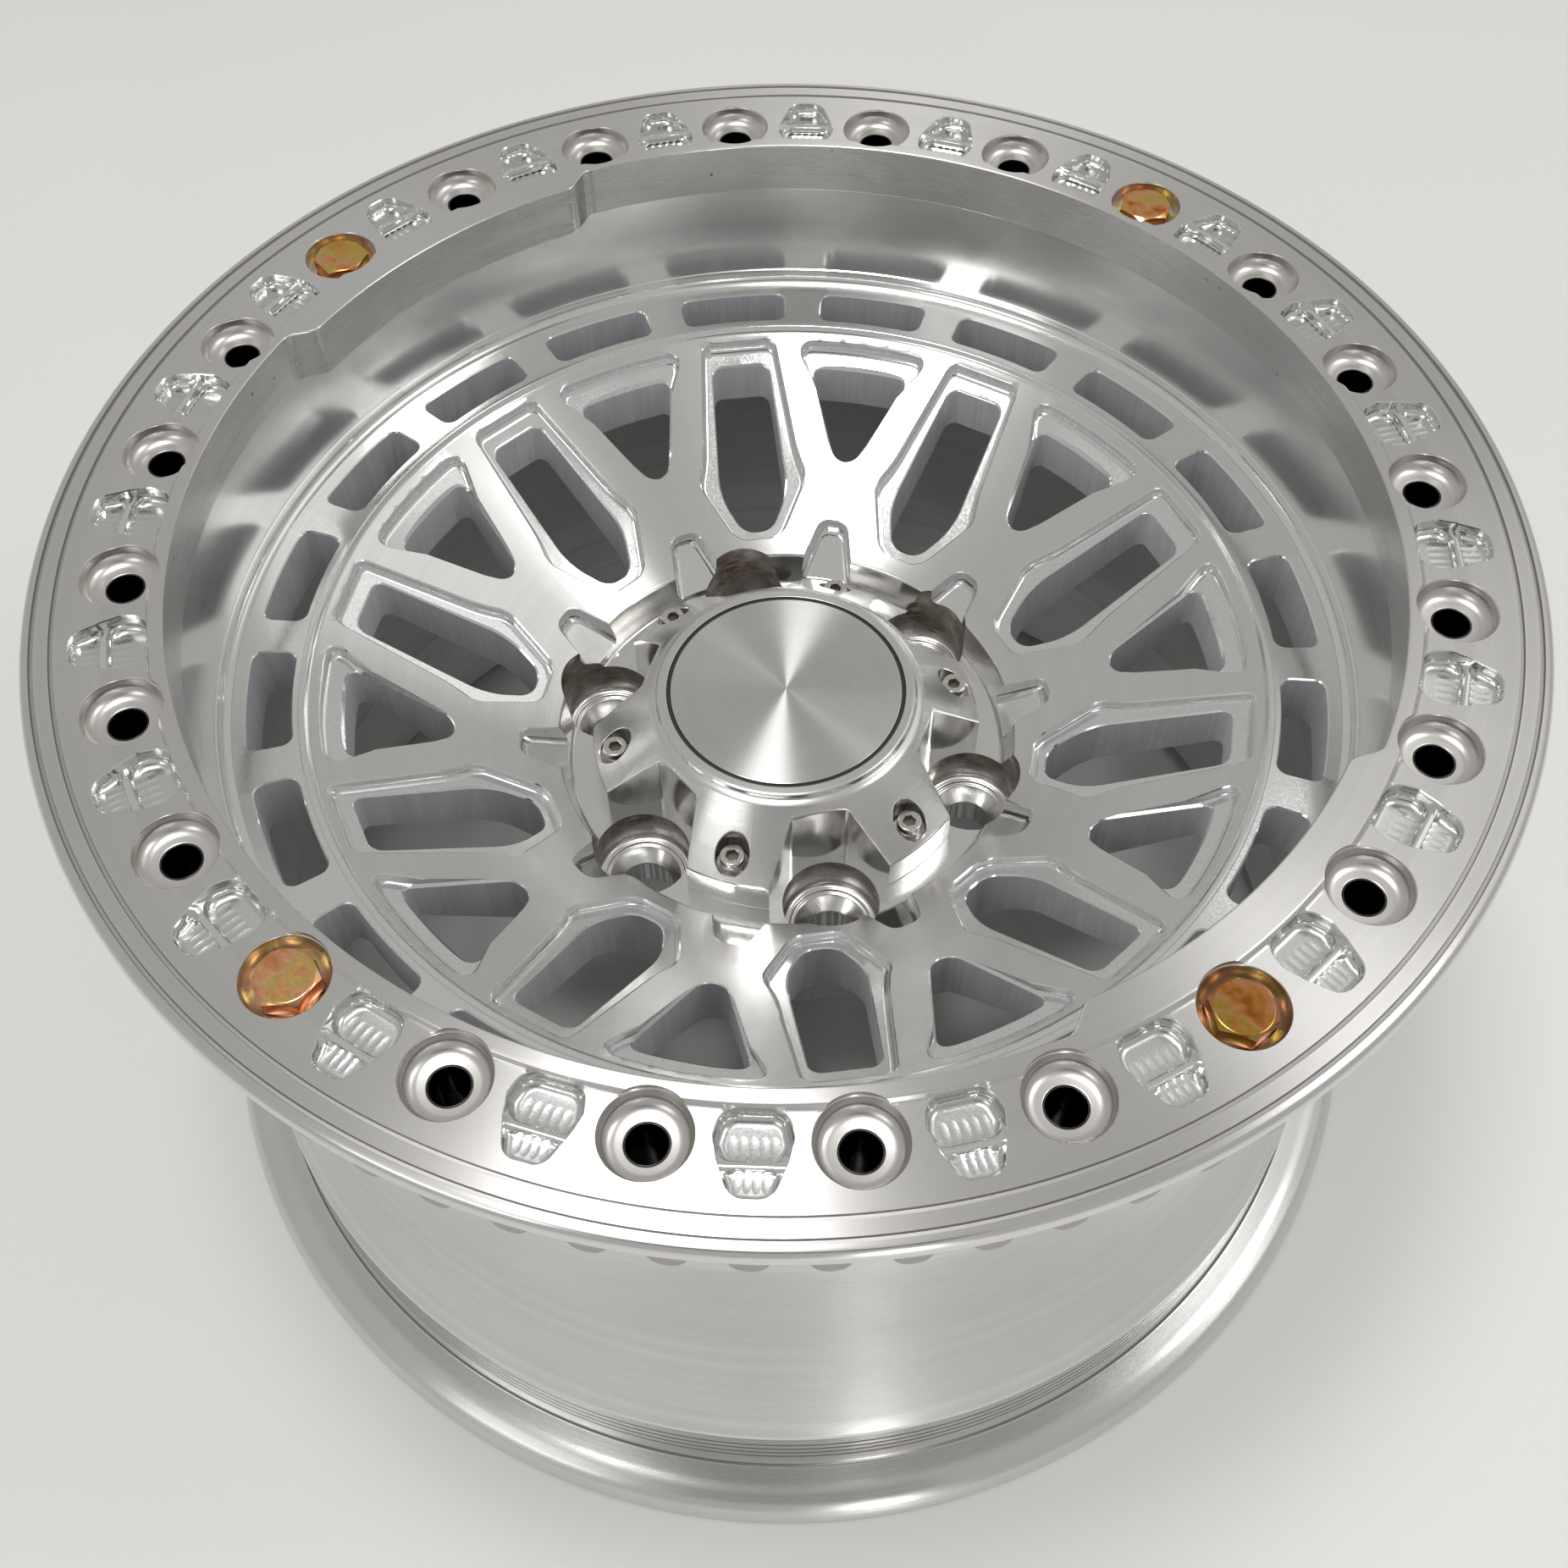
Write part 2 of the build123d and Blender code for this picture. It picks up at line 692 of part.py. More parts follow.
with BuildPart() as cap_seal:
    with BuildSketch(Plane.XY.offset(disc_seat_z)) as seal_outline:
        Circle(disc_seat_r)
        Circle(disc_r + disc_fit, mode=Mode.SUBTRACT)
    extrude(amount=disc_thickness - disc_sink - o_ring_sink)
cap_seal.part.label = "cap_seal"
export_step(cap_seal.part, "parts/cap_seal.step")

# Socket screws that hold the cap to the hub
with BuildPart() as cap_screws:
    with BuildSketch(Plane.XY.offset(recess_floor_z)) as heads:
        with PolarLocations(screw_circle_r, lug_count):
            Circle(screw_head_r)
    extrude(amount=screw_head)
    chamfer(cap_screws.faces().group_by(Axis.Z)[-1].edges(), length=screw_edge)
    with BuildSketch(Plane.XY.offset(recess_floor_z)) as shanks:
        with PolarLocations(screw_circle_r, lug_count):
            Circle(screw_r)
    extrude(amount=-screw_length)
    with BuildSketch(Plane.XY.offset(recess_floor_z + screw_head)) as sockets:
        with PolarLocations(screw_circle_r, lug_count):
            RegularPolygon(radius=screw_socket / 2, side_count=6, major_radius=False)
    extrude(amount=-screw_socket_depth, mode=Mode.SUBTRACT)
cap_screws.part.label = "cap_screws"
export_step(cap_screws.part, "parts/cap_screws.step")
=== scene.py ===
import math

import bmesh
import bpy
from mathutils import Matrix, Vector


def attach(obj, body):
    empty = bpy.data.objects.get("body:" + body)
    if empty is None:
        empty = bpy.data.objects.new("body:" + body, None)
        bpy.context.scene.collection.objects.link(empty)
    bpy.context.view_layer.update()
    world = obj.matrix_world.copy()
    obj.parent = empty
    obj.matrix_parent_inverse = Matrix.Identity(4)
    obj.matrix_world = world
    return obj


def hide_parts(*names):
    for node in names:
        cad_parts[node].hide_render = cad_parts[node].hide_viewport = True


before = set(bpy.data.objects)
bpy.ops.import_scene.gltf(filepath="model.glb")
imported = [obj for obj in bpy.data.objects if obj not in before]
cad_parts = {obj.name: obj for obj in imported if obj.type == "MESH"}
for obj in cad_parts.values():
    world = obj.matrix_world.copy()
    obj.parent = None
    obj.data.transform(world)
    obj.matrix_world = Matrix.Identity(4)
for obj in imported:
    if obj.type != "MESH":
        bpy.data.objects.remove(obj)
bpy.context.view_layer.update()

# Sizes in millimetres and degrees, heights above the floor
MM = 0.001
FULL = 2 * math.pi
TOUCH = 5e-6

# Clamp ring, its bolt seats, and where the fitted bolts sit and how far each is turned
FACE_Z = 276.0
RING_FOOT_Z = 258.0
LIP_R = 192.6
BOLT_R = 207.5
BOLTS = 24
BOLT_START = 7.5
FITTED = (97.5, 187.5, 277.5, 352.5)
HEAD_TURNS = (22, 52, 8, 35)
SEAT_R = 12.3
SEAT_EDGE_R = 12.75
SEAT_Z = 269.8
HOLE_R = 6.05
INSERT_FOOT_Z = 234.0

# Wheel: vents, spoke cone, hub well, hub pad and rear flange
VENT_Z = 214.8
SPOKE_R = 163.3
SPOKE_Z = 213.1
RIM_R = 85.0
RIM_Z = 171.2
WALL_R = 83.0
WELL_Z = 158.0
PAD_Z = 126.0
BORE_R = 39.05
FLANGE_R = 239.5
FLANGE_Z = 11.5
WINDOWS = 10
LEDGE = 4.0
SEAT_LINES = (18.5, 22.5, 26.5, 30.5)

# Lug bores, centre cap and cap screws
LUGS = 6
LUG_R = 69.85
LUG_START = 30.0
LUG_BORE_R = 17.0
LUG_SEAT_Z = 143.6
SCREW_R = 62.9
SCREW_HOLE_R = 2.5
RECESS_R = 6.0
CAP_R = 70.5
CAP_EDGE_Z = 171.2
CAP_TOP = 192.8
CAP_RIM_R = 46.0
DISC_FOOT_Z = 190.3
CAP_SLOPE = (CAP_TOP - CAP_EDGE_Z) / (CAP_R - CAP_RIM_R)
SCREW_SEAT_Z = CAP_TOP - (SCREW_R - CAP_RIM_R) * CAP_SLOPE - 5.4


def spoke_height(radius):
    """Height of the spoke cone at a radius."""
    return RIM_Z + (radius - RIM_R) * (SPOKE_Z - RIM_Z) / (SPOKE_R - RIM_R)


# Drawing and shaping tools
def pick(test):
    """Selects the vertices whose place passes the test."""
    work = bmesh.from_edit_mesh(bpy.context.object.data)
    for part in (work.verts, work.edges, work.faces):
        for item in part:
            item.select_set(False)
    for vert in work.verts:
        if test(vert.co):
            vert.select_set(True)
    work.select_flush_mode()
    bmesh.update_edit_mesh(bpy.context.object.data)


def draw(name, corners, upright, level=0.0):
    """Draws a closed outline corner by corner from one vertex, fills it and rounds its corners.
    A corner is (a, b) or (a, b, rounding). An upright outline stands in the XZ plane."""
    def spot(corner):
        a, b = corner[0], corner[1]
        return Vector((a, 0, b) if upright else (a, b, level)) * MM

    bpy.ops.object.select_all(action="DESELECT")
    bpy.ops.mesh.primitive_plane_add(size=MM)
    piece = bpy.context.object
    piece.name = name
    piece.data.name = name
    bpy.ops.object.mode_set(mode="EDIT")
    bpy.ops.mesh.merge(type="CENTER")
    bpy.ops.transform.translate(value=spot(corners[0]))
    for here, there in zip(corners, corners[1:]):
        bpy.ops.mesh.extrude_vertices_move(TRANSFORM_OT_translate={"value": spot(there) - spot(here)})
    bpy.ops.mesh.select_all(action="SELECT")
    bpy.ops.mesh.edge_face_add()
    for rounding in sorted({c[2] for c in corners if len(c) > 2}):
        spots = [spot(c) for c in corners if len(c) > 2 and c[2] == rounding]
        pick(lambda co: any((co - s).length < TOUCH for s in spots))
        segments = 2 if rounding < 0.5 else 3 if rounding < 1.2 else 5 if rounding < 7 else 10
        bpy.ops.mesh.bevel(offset=rounding * MM, segments=segments, affect="VERTICES")
    return piece


def volume(piece):
    """Signed volume, which is negative where the faces look inwards."""
    work = bmesh.new()
    work.from_mesh(piece.data)
    size = work.calc_volume(signed=True)
    work.free()
    return size


def close_up():
    """Joins doubles, drops loose bits and turns all faces outwards."""
    bpy.ops.mesh.select_all(action="SELECT")
    bpy.ops.mesh.remove_doubles(threshold=1e-7)
    bpy.ops.mesh.delete_loose()
    bpy.ops.mesh.select_all(action="SELECT")
    bpy.ops.mesh.normals_make_consistent(inside=False)
    bpy.ops.object.mode_set(mode="OBJECT")
    if volume(bpy.context.object) < 0:
        bpy.context.object.data.flip_normals()


def turned(name, corners, steps):
    """A lathe-turned piece: the outline spun round the axis."""
    piece = draw(name, corners, True)
    bpy.ops.mesh.select_all(action="SELECT")
    bpy.ops.mesh.delete(type="ONLY_FACE")
    bpy.ops.mesh.select_all(action="SELECT")
    bpy.ops.mesh.spin(steps=steps, angle=FULL, center=(0, 0, 0), axis=(0, 0, 1))
    close_up()
    return piece


def wedge(name, corners, start, sweep, steps):
    """A sector of a lathe-turned piece, closed at both ends."""
    piece = draw(name, corners, True)
    bpy.ops.mesh.select_all(action="SELECT")
    bpy.ops.mesh.delete(type="ONLY_FACE")
    bpy.ops.mesh.select_all(action="SELECT")
    bpy.ops.mesh.spin(steps=steps, angle=math.radians(-sweep), center=(0, 0, 0), axis=(0, 0, 1))
    bpy.ops.mesh.select_all(action="SELECT")
    bpy.ops.mesh.fill_holes(sides=0)
    close_up()
    move(piece, spin=start)
    return piece


def whole(piece, start, count):
    """Opens the two ends of a sector and repeats it round the axis into one closed piece."""
    sides = [Vector((-math.sin(math.radians(a)), math.cos(math.radians(a)), 0))
             for a in (start, start + 360 / count)]
    bpy.ops.object.select_all(action="DESELECT")
    piece.select_set(True)
    bpy.context.view_layer.objects.active = piece
    bpy.ops.object.mode_set(mode="EDIT")
    bpy.ops.mesh.select_all(action="DESELECT")
    bpy.ops.mesh.select_mode(type="FACE")
    work = bmesh.from_edit_mesh(piece.data)
    for face in work.faces:
        for side in sides:
            if all(abs(vert.co.dot(side)) < TOUCH for vert in face.verts):
                face.select_set(True)
    bmesh.update_edit_mesh(piece.data)
    bpy.ops.mesh.delete(type="FACE")
    bpy.ops.mesh.select_mode(type="VERT")
    bpy.ops.mesh.select_all(action="SELECT")
    bpy.ops.mesh.spin(steps=count - 1, angle=FULL * (count - 1) / count, dupli=True,
                      center=(0, 0, 0), axis=(0, 0, 1))
    bpy.ops.mesh.select_all(action="SELECT")
    bpy.ops.mesh.remove_doubles(threshold=TOUCH)
    bpy.ops.object.mode_set(mode="OBJECT")


def sunk(name, corners, level, steps):
    """A cutter sunk from its outline at a level, by insets of (inward, down), closed on top."""
    piece = draw(name, corners, False, level)
    bpy.ops.mesh.select_all(action="SELECT")
    face = bmesh.from_edit_mesh(piece.data).faces
    face.ensure_lookup_table()
    if face[0].normal.z > 0:
        bpy.ops.mesh.flip_normals()
    for inward, down in steps:
        bpy.ops.mesh.inset(thickness=inward * MM, depth=down * MM)
    bpy.ops.mesh.select_all(action="DESELECT")
    bpy.ops.mesh.select_non_manifold()
    bpy.ops.mesh.edge_face_add()
    close_up()
    return piece


def fillet_steps(radius):
    """Insets that round a cutter's floor."""
    parts = 4
    marks = [math.radians(90 * i / parts) for i in range(parts + 1)]
    return [(radius * (math.cos(a) - math.cos(b)), radius * (math.sin(b) - math.sin(a)))
            for a, b in zip(marks, marks[1:])]


def on_circle(radius, angle):
    """A point of the plan at a radius and an angle in radians."""
    return radius * math.cos(angle), radius * math.sin(angle)


def lay_on(piece, place):
    """Moves each vertex to a height that follows from its radius and its height before."""
    for vert in piece.data.vertices:
        vert.co.z = place(math.hypot(vert.co.x, vert.co.y) / MM, vert.co.z / MM) * MM
    piece.data.update()


def move(piece, x=0.0, y=0.0, z=0.0, spin=0.0):
    """Puts a piece's mesh at a place and then turns it about the axis."""
    turn = Matrix.Rotation(math.radians(spin), 4, "Z")
    piece.data.transform(turn @ Matrix.Translation(Vector((x, y, z)) * MM))
    piece.data.update()


def round_axis(piece, count, pitch=None):
    """Copies the mesh round the axis, evenly or at a pitch in degrees, all in one piece."""
    pitch = pitch or 360 / count
    bpy.ops.object.select_all(action="DESELECT")
    bpy.context.view_layer.objects.active = piece
    piece.select_set(True)
    bpy.ops.object.mode_set(mode="EDIT")
    bpy.ops.mesh.select_all(action="SELECT")
    bpy.ops.mesh.spin(steps=count - 1, angle=math.radians(-pitch) * (count - 1), dupli=True,
                      center=(0, 0, 0), axis=(0, 0, 1))
    bpy.ops.object.mode_set(mode="OBJECT")
    return piece


def joined(*parts):
    """One piece from several."""
    if len(parts) == 1:
        return parts[0]
    bpy.ops.object.select_all(action="DESELECT")
    for part in parts:
        part.select_set(True)
    bpy.context.view_layer.objects.active = parts[0]
    bpy.ops.object.join()
    return parts[0]


def cut(piece, *cutters, way="DIFFERENCE"):
    """Cuts the cutters out of a piece, adds them (UNION) or keeps only what they share (INTERSECT)."""
    tool = joined(*cutters)
    bpy.ops.object.select_all(action="DESELECT")
    piece.select_set(True)
    bpy.context.view_layer.objects.active = piece
    bpy.ops.object.modifier_add(type="BOOLEAN")
    change = piece.modifiers[-1]
    change.operation = way
    change.solver = "MANIFOLD"
    change.object = tool
    bpy.ops.object.modifier_apply(modifier=change.name)
    bpy.data.objects.remove(tool)
    bpy.ops.object.mode_set(mode="EDIT")
    bpy.ops.mesh.select_all(action="SELECT")
    bpy.ops.mesh.remove_doubles(threshold=2e-6)
    bpy.ops.mesh.dissolve_degenerate(threshold=2e-6)
    bpy.ops.object.mode_set(mode="OBJECT")


def smooth(piece, angle=33):
    """Shades a piece smooth up to an edge angle, with broad faces kept flat."""
    bpy.ops.object.select_all(action="DESELECT")
    piece.select_set(True)
    bpy.context.view_layer.objects.active = piece
    bpy.ops.object.shade_smooth_by_angle(angle=math.radians(angle))
    bpy.ops.object.modifier_add(type="WEIGHTED_NORMAL")
    piece.modifiers[-1].keep_sharp = True
    bpy.ops.object.modifier_apply(modifier=piece.modifiers[-1].name)


def stands_for(piece, node):
    """Rides on the wheel in place of a solid, which is hidden."""
    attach(piece, "root")
    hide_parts(node)


# Clamp ring: one of its 24 sectors is turned, gets its ribs and is milled, then it is repeated and gets tabs
def pocket_cutters():
    """The milled pocket: a deep scoop, a shallow scoop, the ridge between them and the ball mill's tracks."""
    deep = sunk("deep_scoop", [
        (-11.2, -9.4, 5.2), (-2.5, -11.5), (4.7, -10.4, 5.2), (4.7, 10.4, 5.2), (-2.5, 11.5),
        (-11.2, 9.4, 5.2),
    ], 1.0, [(1.3, 1.3), (0, 2.8)] + fillet_steps(2.8))
    tip = sunk("tip_scoop", [
        (3.6, -10.4, 5.0), (15.2, -6.2, 4.2), (15.2, 6.2, 4.2), (3.6, 10.4, 5.0),
    ], 1.0, [(1.3, 1.3), (0, 1.8)] + fillet_steps(2.0))
    ridge = draw("ridge", [
        (-2.4, 2.0), (-2.4, -3.5), (2.6, -3.5), (3.3, -3.2), (3.8, -3.0), (4.3, -2.94), (4.8, -3.0),
        (5.3, -3.2), (6.0, -3.5), (8.0, -3.5), (8.0, 2.0),
    ], True)
    bpy.ops.mesh.select_all(action="SELECT")
    bpy.ops.transform.translate(value=(0, -12 * MM, 0))
    bpy.ops.mesh.extrude_region_move(TRANSFORM_OT_translate={"value": (0, 24 * MM, 0)})
    close_up()
    border = sunk("ridge_border", [
        (-2.5, -11.4), (4.2, -10.2), (12.0, -7.2), (12.0, 7.2), (4.2, 10.2), (-2.5, 11.4),
    ], 1.0, [(1.3, 1.3), (0, 6)])
    cut(ridge, border, way="INTERSECT")

    def tracks(name, deep_places, tip_places):
        """Hollows of the ball mill, long ones in the deep scoop and shorter ones in the tip."""
        places = [(-1.9, y, -5.49, 5.4, 2.6) for y in deep_places]
        places += [(9.0, y, -3.69, 4.4, 2.2) for y in tip_places]
        balls = []
        for x, y, z, long, wide in places:
            bpy.ops.object.select_all(action="DESELECT")
            bpy.ops.mesh.primitive_uv_sphere_add(segments=16, ring_count=12, radius=MM)
            ball = bpy.context.object
            bpy.ops.transform.resize(value=(long, wide, 0.5))
            bpy.ops.object.transform_apply(location=True, rotation=True, scale=True)
            move(ball, x, y, z)
            balls.append(ball)
        balls[0].name = name
        return joined(*balls)

    odd = tracks("odd_tracks", (-5.4, 0, 5.4), (-3.6, 1.2))
    even = tracks("even_tracks", (-2.7, 2.7), (-1.2, 3.6))
    return deep, tip, ridge, odd, even


def grip_ribs():
    """Three of the round ribs under the rim of the ring, which grip the tyre."""
    radius, length, rounding, pitch = 5.6, 12.0, 2.0, 5
    bpy.ops.object.select_all(action="DESELECT")
    bpy.ops.mesh.primitive_cylinder_add(vertices=40, radius=radius * MM, depth=length * MM,
                                        rotation=(0, math.pi / 2, 0))
    bpy.ops.object.transform_apply(location=True, rotation=True, scale=True)
    rib = bpy.context.object
    rib.name = "grip_rib"
    bpy.ops.object.mode_set(mode="EDIT")
    pick(lambda co: co.x > 0.49 * length * MM)
    bpy.ops.mesh.bevel(offset=rounding * MM, segments=4, affect="EDGES")
    close_up()
    move(rib, 228.6, 0, RING_FOOT_Z + 6.8)
    return round_axis(rib, 3, pitch)


def widen_lip(ring):
    """Draws the inner lip inwards over two opposite arcs, as tabs with smooth ends."""
    lip_zone, reach, half_angle, end_angle = 194.0, 7.3, 20.5, 3.2
    for vert in ring.data.vertices:
        radius = math.hypot(vert.co.x, vert.co.y) / MM
        angle = math.degrees(math.atan2(vert.co.y, vert.co.x))
        if radius < lip_zone:
            off = min(abs(angle), 180 - abs(angle))
            rise = min(1.0, max(0.0, (half_angle - off) / end_angle))
            inward = reach * rise * rise * (3 - 2 * rise)
            scale = (radius - inward) / radius
            vert.co.x *= scale
            vert.co.y *= scale
    ring.data.update()


def make_ring():
    start = -3.44
    ring = wedge("clamp_ring", [
        (LIP_R, RING_FOOT_Z, 0.4), (LIP_R, FACE_Z + 1.7, 0.6),
        (197.1, FACE_Z + 1.7, 0.5), (198.4, FACE_Z, 0.7),
        (225.7, FACE_Z), (226.0, FACE_Z - 0.8), (226.9, FACE_Z - 0.8), (227.2, FACE_Z),
        (231.5, FACE_Z), (231.8, FACE_Z - 0.8), (232.7, FACE_Z - 0.8), (233.0, FACE_Z),
        (236.3, FACE_Z - 0.4, 2.4), (236.3, FACE_Z - 5.6, 0.8), (231.2, FACE_Z - 10.8, 0.8),
        (230.7, RING_FOOT_Z + 4, 0.4), (214.0, RING_FOOT_Z + 4, 0.4), (214.0, RING_FOOT_Z, 0.4),
    ], start, 360 / BOLTS, 30)
    cut(ring, grip_ribs(), way="UNION")
    depth = 6.2
    seat = turned("bolt_seat", [
        (0, 2), (SEAT_EDGE_R, 2), (SEAT_EDGE_R, 0.1), (SEAT_R, -0.35, 0.3), (SEAT_R, -depth, 4.2),
        (HOLE_R, -depth, 0.4), (HOLE_R, -20), (0, -20),
    ], 48)
    move(seat, BOLT_R, 0, FACE_Z, BOLT_START)
    cut(ring, seat)
    for cutter in pocket_cutters():
        move(cutter, BOLT_R, 0, FACE_Z)
        cut(ring, cutter)
    whole(ring, start, BOLTS)
    widen_lip(ring)
    smooth(ring)
    stands_for(ring, "beadlock_ring")
    return ring


# One-piece wheel: one of ten sectors with its vents and windows, repeated, then the holes of the hub and rim
def bead_seat_radius(level):
    """Radius of the tapered bead seat at a height."""
    return 220.3 - (level - SEAT_LINES[0]) / 15


def vent_cutters():
    """Three vents of one sector and its neighbours, with rounded corners and a small chamfer."""
    outer, inner, half, chamfer = 183.8, 168.7, math.radians(13.3 / 2), 1.0
    arc = [half * share for share in (-1, -0.68, -0.4, -0.13, 0.13, 0.4, 0.68, 1)]
    corners = [on_circle(outer + chamfer, a) for a in arc]
    corners += [on_circle(inner - chamfer, a) for a in reversed(arc)]
    for at in (0, 7, 8, 15):
        a = math.atan2(corners[at][1], corners[at][0])
        reach = math.hypot(*corners[at])
        corners[at] = (*on_circle(reach, a + math.copysign(chamfer / reach, a)), 4.9)
    vent = sunk("vent", corners, VENT_Z + chamfer / 2, [(chamfer, chamfer), (0, 26)])
    return round_axis(vent, 3, 180 / WINDOWS)


def make_wheel():
    seat_lines = []
    for level in SEAT_LINES:
        line_r = bead_seat_radius(level)
        seat_lines += [
            (line_r, level), (line_r - 0.4, level + 0.2),
            (line_r - 0.4, level + 1.1), (line_r - 0.07, level + 1.3),
        ]
    back_z, inside_r, rear_inside_r = 192.8, 196.0, 209.0
    wheel = wedge("wheel_body", [
        (BORE_R, PAD_Z, 0.8), (90.0, PAD_Z, 1.5), (90.0, 142.2, 6), (108.0, 158.5, 6), (SPOKE_R, back_z, 5),
        (inside_r, back_z, 6), (inside_r, 83.0, 12), (rear_inside_r, 47.0, 10), (rear_inside_r, FLANGE_Z, 3),
        (227.5, 0, 1.1), (FLANGE_R, 0, 1.0), (FLANGE_R, 4.0, 2.2), (236.6, 9.2, 2.2), (230.0, FLANGE_Z, 2.2),
        (221.6, FLANGE_Z, 1.1), (220.6, 16.0),
    ] + seat_lines + [
        (219.3, 38.0, 1.1), (220.7, 41.5, 2.2), (217.4, 46.5, 3.6),
        (205.0, 83.0, 30), (205.0, 165.0, 30), (215.4, 209.0, 0.8), (218.0, 211.2, 0.8),
        (218.0, RING_FOOT_Z, 0.8), (194.6, RING_FOOT_Z, 0.5), (192.3, 220.6), (191.8, 220.3),
        (191.6, VENT_Z, 3.4), (166.6, VENT_Z), (166.2, VENT_Z + 0.35), (164.4, VENT_Z + 0.35, 0.3),
        (SPOKE_R, SPOKE_Z, 0.8), (WALL_R, spoke_height(WALL_R), 0.8), (WALL_R - 3.4, WELL_Z, 1.2),
        (BORE_R, WELL_Z, 0.6),
    ], 0, 360 / WINDOWS, 30)
    cut(wheel, vent_cutters())
    half_pitch = 180 / WINDOWS

    def on_cone(radius, height):
        return spoke_height(radius) + height

    def bowed(radius, half, rounding):
        """Outline points along an arc round the axis, with rounded ends, half an angle to each side."""
        points = [on_circle(radius, math.radians(half * share)) for share in (-1, -0.6, -0.3, 0, 0.3, 0.6, 1)]
        return [(*points[0], rounding)] + points[1:-1] + [(*points[-1], rounding)]

    ledge_drop = [(1.0, 1.0), (0, LEDGE - 2.6)] + fillet_steps(2.1)
    long_ledge = sunk("long_ledge", [
        (161.3, -15.3, 4.6), (161.3, 15.3, 4.6), (118.4, 19.5, 5.0), (109.8, 22.5, 4.0), (88.6, 9.3, 5.0),
        (88.6, -9.3, 5.0), (109.8, -22.5, 4.0), (118.4, -19.5, 5.0),
    ], 0.5, ledge_drop)
    lay_on(long_ledge, on_cone)
    round_axis(long_ledge, 2, 2 * half_pitch)
    cut(wheel, long_ledge)
    tri_ledge = sunk("tri_ledge", bowed(160.9, 10.5, 9.0) + [
        (139.0, 14.4, 5.0), (139.0, -14.4, 5.0),
    ], 0.5, ledge_drop)
    lay_on(tri_ledge, on_cone)
    move(tri_ledge, spin=half_pitch)
    cut(wheel, tri_ledge)

    slot_top = 10.5
    slot_edge = [(0, slot_top - 0.5), (1.0, 1.0), (0, 95)]
    long_slot = sunk("long_slot", [
        (155.3, -12.2, 4.8), (155.3, 12.2, 4.8), (108.2, 14.4, 6.5), (93.8, 6.2, 4.6), (93.8, -6.2, 4.6),
        (108.2, -14.4, 6.5),
    ], slot_top - LEDGE, slot_edge)
    lay_on(long_slot, on_cone)
    round_axis(long_slot, 2, 2 * half_pitch)
    cut(wheel, long_slot)
    tri_slot = sunk("tri_slot", bowed(154.2, 7.9, 6.0) + [
        (117.0, 4.5, 4.3), (117.0, -4.5, 4.3),
    ], slot_top, slot_edge)

    def on_tri_floor(radius, height):
        """On the ledge at the outer end and on the spoke cone further in."""
        share = min(1.0, max(0.0, (radius - 136.5) / 8.0))
        return spoke_height(radius) - LEDGE * share + height

    lay_on(tri_slot, on_tri_floor)
    move(tri_slot, spin=half_pitch)
    cut(wheel, tri_slot)
    rim_pocket = sunk("rim_pocket", [
        (97.8, -6.2, 4.4), (97.8, 6.2, 4.4), (77.0, 12.1), (77.0, -12.1),
    ], 1.0, [(1.3, 1.3), (0, 2.4)] + fillet_steps(2.4))

    def toward_well(radius, height):
        """Deeper toward the hub well, into which the pocket opens."""
        deeper = 1 + 0.45 * (96.0 - radius) / 11.0
        return spoke_height(radius) + (height * deeper if height < 0 else height)

    lay_on(rim_pocket, toward_well)
    move(rim_pocket, spin=half_pitch)
    cut(wheel, rim_pocket)
    whole(wheel, 0, WINDOWS)

    insert_hole = turned("insert_hole", [
        (0, RING_FOOT_Z + 4), (HOLE_R, RING_FOOT_Z + 4), (HOLE_R, INSERT_FOOT_Z), (0, INSERT_FOOT_Z),
    ], 32)
    move(insert_hole, BOLT_R, 0, 0, BOLT_START)
    round_axis(insert_hole, BOLTS)
    screw_hole = turned("screw_hole", [
        (0, WELL_Z + 2), (SCREW_HOLE_R, WELL_Z + 2), (SCREW_HOLE_R, PAD_Z + 2), (0, PAD_Z + 2),
    ], 24)
    move(screw_hole, SCREW_R)
    round_axis(screw_hole, LUGS)
    lug = turned("lug_bore", [
        (0, 215), (LUG_BORE_R, 215), (LUG_BORE_R, LUG_SEAT_Z, 1.6), (14.6, 143.4, 0.3), (14.2, 142.6, 0.3),
        (13.0, 142.6, 0.4), (9.4, 136.4, 0.4), (9.4, 120), (0, 120),
    ], 64)
    move(lug, LUG_R, 0, 0, LUG_START)
    round_axis(lug, LUGS)
    cut(wheel, insert_hole, screw_hole, lug)
    smooth(wheel)
    stands_for(wheel, "wheel")
    return wheel


